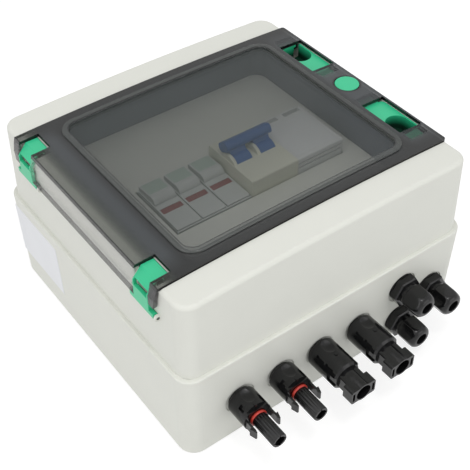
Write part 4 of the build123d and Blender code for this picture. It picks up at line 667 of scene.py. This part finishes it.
class PVBOX_OT_plates(bpy.types.Operator):
    """Make the bare label plates on the cartridges and on the wide module"""
    bl_idname = "pvbox.plates"
    bl_label = "Bare plates"

    def execute(self, context):
        colours = context.scene.pvbox_finishes
        thick = context.scene.pvbox_pieces.plate / MM
        paper = moulded("plate_paper", colours.surge_paper, 0.35, grain=0.2 * MM, depth=0.003 * MM)
        y, half, corner = SURGE_PLATE
        for n in (1, 2, 3):
            middle = (axis_of(f"spd_cartridge_{n}")[0], y)
            bare_plate(f"surge_plate_{n}", middle, half, corner, grip_top, thick, paper)
        white = moulded("module_paper", colours.module_paper, 0.3, grain=0.2 * MM, depth=0.003 * MM)
        y, half, corner = MODULE_PLATE
        bare_plate("module_plate", (axis_of("companion_module")[0], y), half, corner, module_top, thick, white)
        return {"FINISHED"}


def grip_top(x, y):
    """Height of a cartridge's raised grip, which falls evenly from its crest to its far edge."""
    return GRIP_CREST_Z - GRIP_FALL * (y - GRIP_CREST_Y)


def module_top(x, y):
    """Height of the wide module's flat front."""
    return np.full_like(x, MODULE_TOP_Z)


class PVBOX_OT_metal(bpy.types.Operator):
    """Finish rail, screws, pins, contacts and the earth bar"""
    bl_idname = "pvbox.metal"
    bl_label = "Metal parts"

    def execute(self, context):
        zinc = metal("zinc_plate", (0.62, 0.63, 0.64), 0.35)
        dress(zinc, "lid_screws", "rail_screws", "spd_clamp_screws", "breaker_clamp_screws", "earth_screws")
        dress(metal("pin_steel", (0.12, 0.13, 0.12), 0.35, brush=(1.0, 0.1, 1.0)), "hinge_pins")
        dress(metal("rail_zinc", (0.6, 0.61, 0.62), 0.35, brush=(0.05, 1.0, 1.0)), "din_rail")
        dress(metal("contact_tin", (0.7, 0.69, 0.66), 0.25, brush=(1.0, 0.1, 1.0)), "male_contacts",
              "female_contacts")
        dress(metal("bar_brass", (0.72, 0.52, 0.22), 0.3, brush=(0.05, 1.0, 1.0)), "earth_bar")
        return {"FINISHED"}


class PVBOX_OT_fittings(bpy.types.Operator):
    """Finish the solar connectors and the bodies of the cable glands"""
    bl_idname = "pvbox.fittings"
    bl_label = "Connectors and glands"

    def execute(self, context):
        colours = context.scene.pvbox_finishes
        names = [f"{kind}_connector_{n}" for kind in ("male", "female") for n in (1, 2)]
        names += [f"{kind}_{n}" for kind in ("gland_body", "dome_nut") for n in (1, 2, 3)]
        dress(gloss_black("black_plastic", colours.black), *names, "connector_nuts", "gland_nuts")
        dress(moulded("ring_rubber", colours.red, 0.45, depth=0.004 * MM), "seal_rings")
        return {"FINISHED"}


class PVBOX_OT_dome_nuts(bpy.types.Operator):
    """Make the domed compression nuts: six soft flats that run out in a round nose with a flat ring at its mouth"""
    bl_idname = "pvbox.dome_nuts"
    bl_label = "Dome nuts"

    def execute(self, context):
        sizes = context.scene.pvbox_pieces
        finish = gloss_black("nut_plastic", context.scene.pvbox_finishes.black)
        turn = full_turn(144)
        radii, outs = nut_profile(sizes, turn)
        for n in (1, 2, 3):
            grid = turned(radii, outs, turn, axis_of(f"dome_nut_{n}"))
            piece = smooth(ring_mesh(f"round_nut_{n}", grid, finish, body=f"dome_{n}"), 28)
            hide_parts(f"dome_nut_{n}")
        return {"FINISHED"}


def nut_profile(sizes, turn):
    """Radii over the turn and distances out of a dome nut, outside first and then its bore back to the foot.

    The outside is the hexagon or, where it is smaller, a round nose: from the widest radius to the mouth's, by
    the root of one less the reach to the power 2.2. Its foot has a chamfer.
    """
    flats, start, shoulder = (size / MM for size in (sizes.nut_flats, sizes.nut_start, sizes.nut_shoulder))
    end, nose, bore = (size / MM for size in (sizes.nut_end, sizes.nut_nose, sizes.nut_bore))
    out = np.concatenate([np.linspace(start, start + 0.5, 4), np.linspace(start + 0.8, shoulder, 8),
                          shoulder + (end - shoulder) * np.sin(np.linspace(0.06, 1.0, 26) * np.pi / 2)])
    reach = np.clip((out - shoulder) / (end - shoulder), 0, 1)
    round_nose = nose + (flats / 2 * NUT_WIDEST - nose) * np.sqrt(1 - reach ** 2.2)
    chamfer = flats / 2 - 0.2 + (out - start) * 2.2
    envelope = np.minimum(round_nose, np.where(out < start + 0.9, chamfer, np.inf))
    skin = softer_least(hex_radius(flats, turn)[None, :], envelope[:, None])
    inner = np.array([(nose - 0.15, end + NUT_LIP), (bore + 0.25, end + NUT_LIP), (bore, end - 0.25),
                      (bore, end - 4.0), (NUT_HOLLOW, end - 5.2), (NUT_HOLLOW, start)])
    inside = np.broadcast_to(inner[:, :1], (len(inner), len(turn)))
    return np.concatenate([skin, inside]), np.concatenate([out, inner[:, 1]])


class PVBOX_OT_tubes(bpy.types.Operator):
    """Make the fluted sleeves and the red seal rings of the pin-side connectors"""
    bl_idname = "pvbox.tubes"
    bl_label = "Tubes and seal rings"

    def execute(self, context):
        colours, sizes = context.scene.pvbox_finishes, context.scene.pvbox_pieces
        black = gloss_black("sleeve_plastic", colours.black)
        red = moulded("ring_gloss", colours.red, 0.32, depth=0.003 * MM, spread=0.08)
        turn = full_turn(192)
        for n in (1, 2):
            centre = axis_of(f"male_connector_{n}")
            smooth(ring_mesh(f"fluted_sleeve_{n}", sleeve(sizes, turn, centre), black), 40)
            piece = smooth(ring_mesh(f"seal_ring_{n}", seal_ring(sizes, turn, centre), red), 60)
            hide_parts("seal_rings")
        return {"FINISHED"}


def sleeve(sizes, turn, centre, base=4.5, root=4.6, inside=4.4):
    """Thin fluted tube: its outer radius is the root and the flute's height times |cos|^0.6 round the turn.

    The flutes run out at both ends.
    """
    start, end = sizes.sleeve_start / MM, sizes.sleeve_end / MM
    ridges = root + sizes.flute_height / MM * np.abs(np.cos(sizes.flutes / 2 * turn)) ** 0.6
    rise = np.array([0.0, 1.0, 1.0, 0.2])[:, None]
    radii = np.concatenate([base + (ridges - base) * rise, np.full((2, len(turn)), inside)])
    return turned(radii, [start, start + 0.4, end - 0.45, end, end, start], turn, centre)


def seal_ring(sizes, turn, centre, middle=17.55):
    """Ring whose section is an ellipse round the ring's middle radius."""
    around = full_turn(24)
    radii = (sizes.ring_radius + sizes.ring_height * np.cos(around)) / MM
    return turned(radii[:, None], middle + sizes.ring_width / MM * np.sin(around), turn, centre)


class PVBOX_OT_label(bpy.types.Operator):
    """Finish the bare paper label"""
    bl_idname = "pvbox.label"
    bl_label = "Label"

    def execute(self, context):
        paper = moulded("label_paper", context.scene.pvbox_finishes.paper, 0.4, grain=0.25 * MM, depth=0.004 * MM)
        dress(paper, "side_label")
        return {"FINISHED"}


class PVBOX_OT_stage(bpy.types.Operator):
    """Set the camera, the lamps and the pale floor"""
    bl_idname = "pvbox.stage"
    bl_label = "Stage"

    def execute(self, context):
        stage = context.scene.pvbox_stage
        add_camera(stage)
        add_sky(context.scene, stage.sky)
        add_floor()
        for name, spot, size, watts in (("lamp_key", (-0.3, -0.2, 1.5), 1.6, stage.key),
                                        ("lamp_spark", (-0.1, -0.5, 1.4), 0.2, stage.spark),
                                        ("lamp_side", (-1.4, -0.3, 0.6), 1.0, stage.side),
                                        ("lamp_front", (0.55, -1.5, 0.45), 1.0, stage.front)):
            add_lamp(name, spot, (0, 0, 0.05), size, watts)
        context.scene.view_settings.view_transform = "Standard"
        return {"FINISHED"}


def add_camera(stage):
    """Camera whose axes come from azimuth, elevation and roll."""
    az, el, roll = stage.azimuth, stage.elevation, stage.roll
    back = Vector((math.sin(az) * math.cos(el), -math.cos(az) * math.cos(el), math.sin(el)))
    right = Vector((math.cos(az), math.sin(az), 0.0))
    up = back.cross(right)
    across = right * math.cos(roll) + up * math.sin(roll)
    above = up * math.cos(roll) - right * math.sin(roll)
    data = bpy.data.cameras.new("camera")
    data.lens = stage.lens
    data.sensor_width = 36.0
    data.clip_start = 0.01
    camera = bpy.data.objects.new("camera", data)
    camera.matrix_world = Matrix.Translation(Vector(stage.spot)) @ Matrix((across, above, back)).transposed().to_4x4()
    bpy.context.scene.collection.objects.link(camera)
    bpy.context.scene.camera = camera


def add_sky(scene, strength):
    """Even light, with a white background where the camera, gloss or clear plastic looks at it."""
    world = bpy.data.worlds.new("sky")
    world.use_nodes = True
    world.node_tree.nodes.clear()
    nodes = Nodes(world.node_tree)
    lit = nodes.make("ShaderNodeBackground", None, {"Color": WHITE, "Strength": strength})
    seen = nodes.make("ShaderNodeBackground", None, {"Color": WHITE, "Strength": 1.0})
    sky = nodes.make("ShaderNodeMixShader", None, {0: nodes.looked_at(), 1: lit, 2: seen})
    nodes.make("ShaderNodeOutputWorld", None, {"Surface": sky})
    scene.world = world


def add_floor(half=3.0, drop=0.2 * MM):
    """Pale floor that keeps the shadow of the box but reads white beyond it."""
    corners = [(-half, -half, -drop), (half, -half, -drop), (half, half, -drop), (-half, half, -drop)]
    mesh = bpy.data.meshes.new("floor")
    mesh.from_pydata(corners, [], [(0, 1, 2, 3)])
    floor = bpy.data.objects.new("floor", mesh)
    bpy.context.scene.collection.objects.link(floor)
    finish = Finish("floor_white", (0.8, 0.8, 0.8), 0.9)
    seen = finish.looked_at()
    finish.fix("Emission Strength", 1.0)
    finish.drive("Emission Color", finish.blend(seen, (0.0, 0.0, 0.0), (0.75, 0.75, 0.75)))
    finish.drive("Base Color", finish.blend(seen, (0.8, 0.8, 0.8), (0.36, 0.36, 0.36)))
    mesh.materials.append(finish.material)


def add_lamp(name, spot, target, size, watts):
    """Square area lamp at a spot that faces a target."""
    data = bpy.data.lights.new(name, "AREA")
    data.shape = "SQUARE"
    data.size = size
    data.energy = watts
    lamp = bpy.data.objects.new(name, data)
    aim = (Vector(target) - Vector(spot)).to_track_quat("-Z", "Y")
    lamp.matrix_world = Matrix.Translation(Vector(spot)) @ aim.to_matrix().to_4x4()
    bpy.context.scene.collection.objects.link(lamp)


STEPS = ("shell", "lining", "door", "green", "devices", "plates", "metal", "fittings", "dome_nuts", "tubes", "label",
         "stage")
GROUPS = {"pvbox_finishes": PVBOX_PG_finishes, "pvbox_door": PVBOX_PG_door, "pvbox_pieces": PVBOX_PG_pieces,
          "pvbox_stage": PVBOX_PG_stage}


class PVBOX_PT_panel(bpy.types.Panel):
    """Lists the steps that dress the box"""
    bl_idname = "PVBOX_PT_panel"
    bl_label = "Junction box"
    bl_space_type = "VIEW_3D"
    bl_region_type = "UI"
    bl_category = "Junction box"

    def draw(self, context):
        for step in STEPS:
            self.layout.operator(f"pvbox.{step}")
        for name in GROUPS:
            settings = getattr(context.scene, name)
            for key in settings.bl_rna.properties.keys():
                if key not in ("rna_type", "name"):
                    self.layout.prop(settings, key)


CLASSES = (*GROUPS.values(), PVBOX_OT_shell, PVBOX_OT_well_shade, PVBOX_OT_door, PVBOX_OT_green, PVBOX_OT_devices,
           PVBOX_OT_plates, PVBOX_OT_metal, PVBOX_OT_fittings, PVBOX_OT_dome_nuts, PVBOX_OT_tubes, PVBOX_OT_label,
           PVBOX_OT_stage, PVBOX_PT_panel)


def register():
    """Adds the classes and the scene's settings."""
    for item in CLASSES:
        bpy.utils.register_class(item)
    for name, group in GROUPS.items():
        setattr(bpy.types.Scene, name, PointerProperty(type=group))


def unregister():
    """Takes the settings and classes away again."""
    for name in GROUPS:
        delattr(bpy.types.Scene, name)
    for item in reversed(CLASSES):
        bpy.utils.unregister_class(item)


def main():
    """Runs every step in order."""
    register()
    for step in STEPS:
        getattr(bpy.ops.pvbox, step)()


if __name__ == "__main__":
    main()
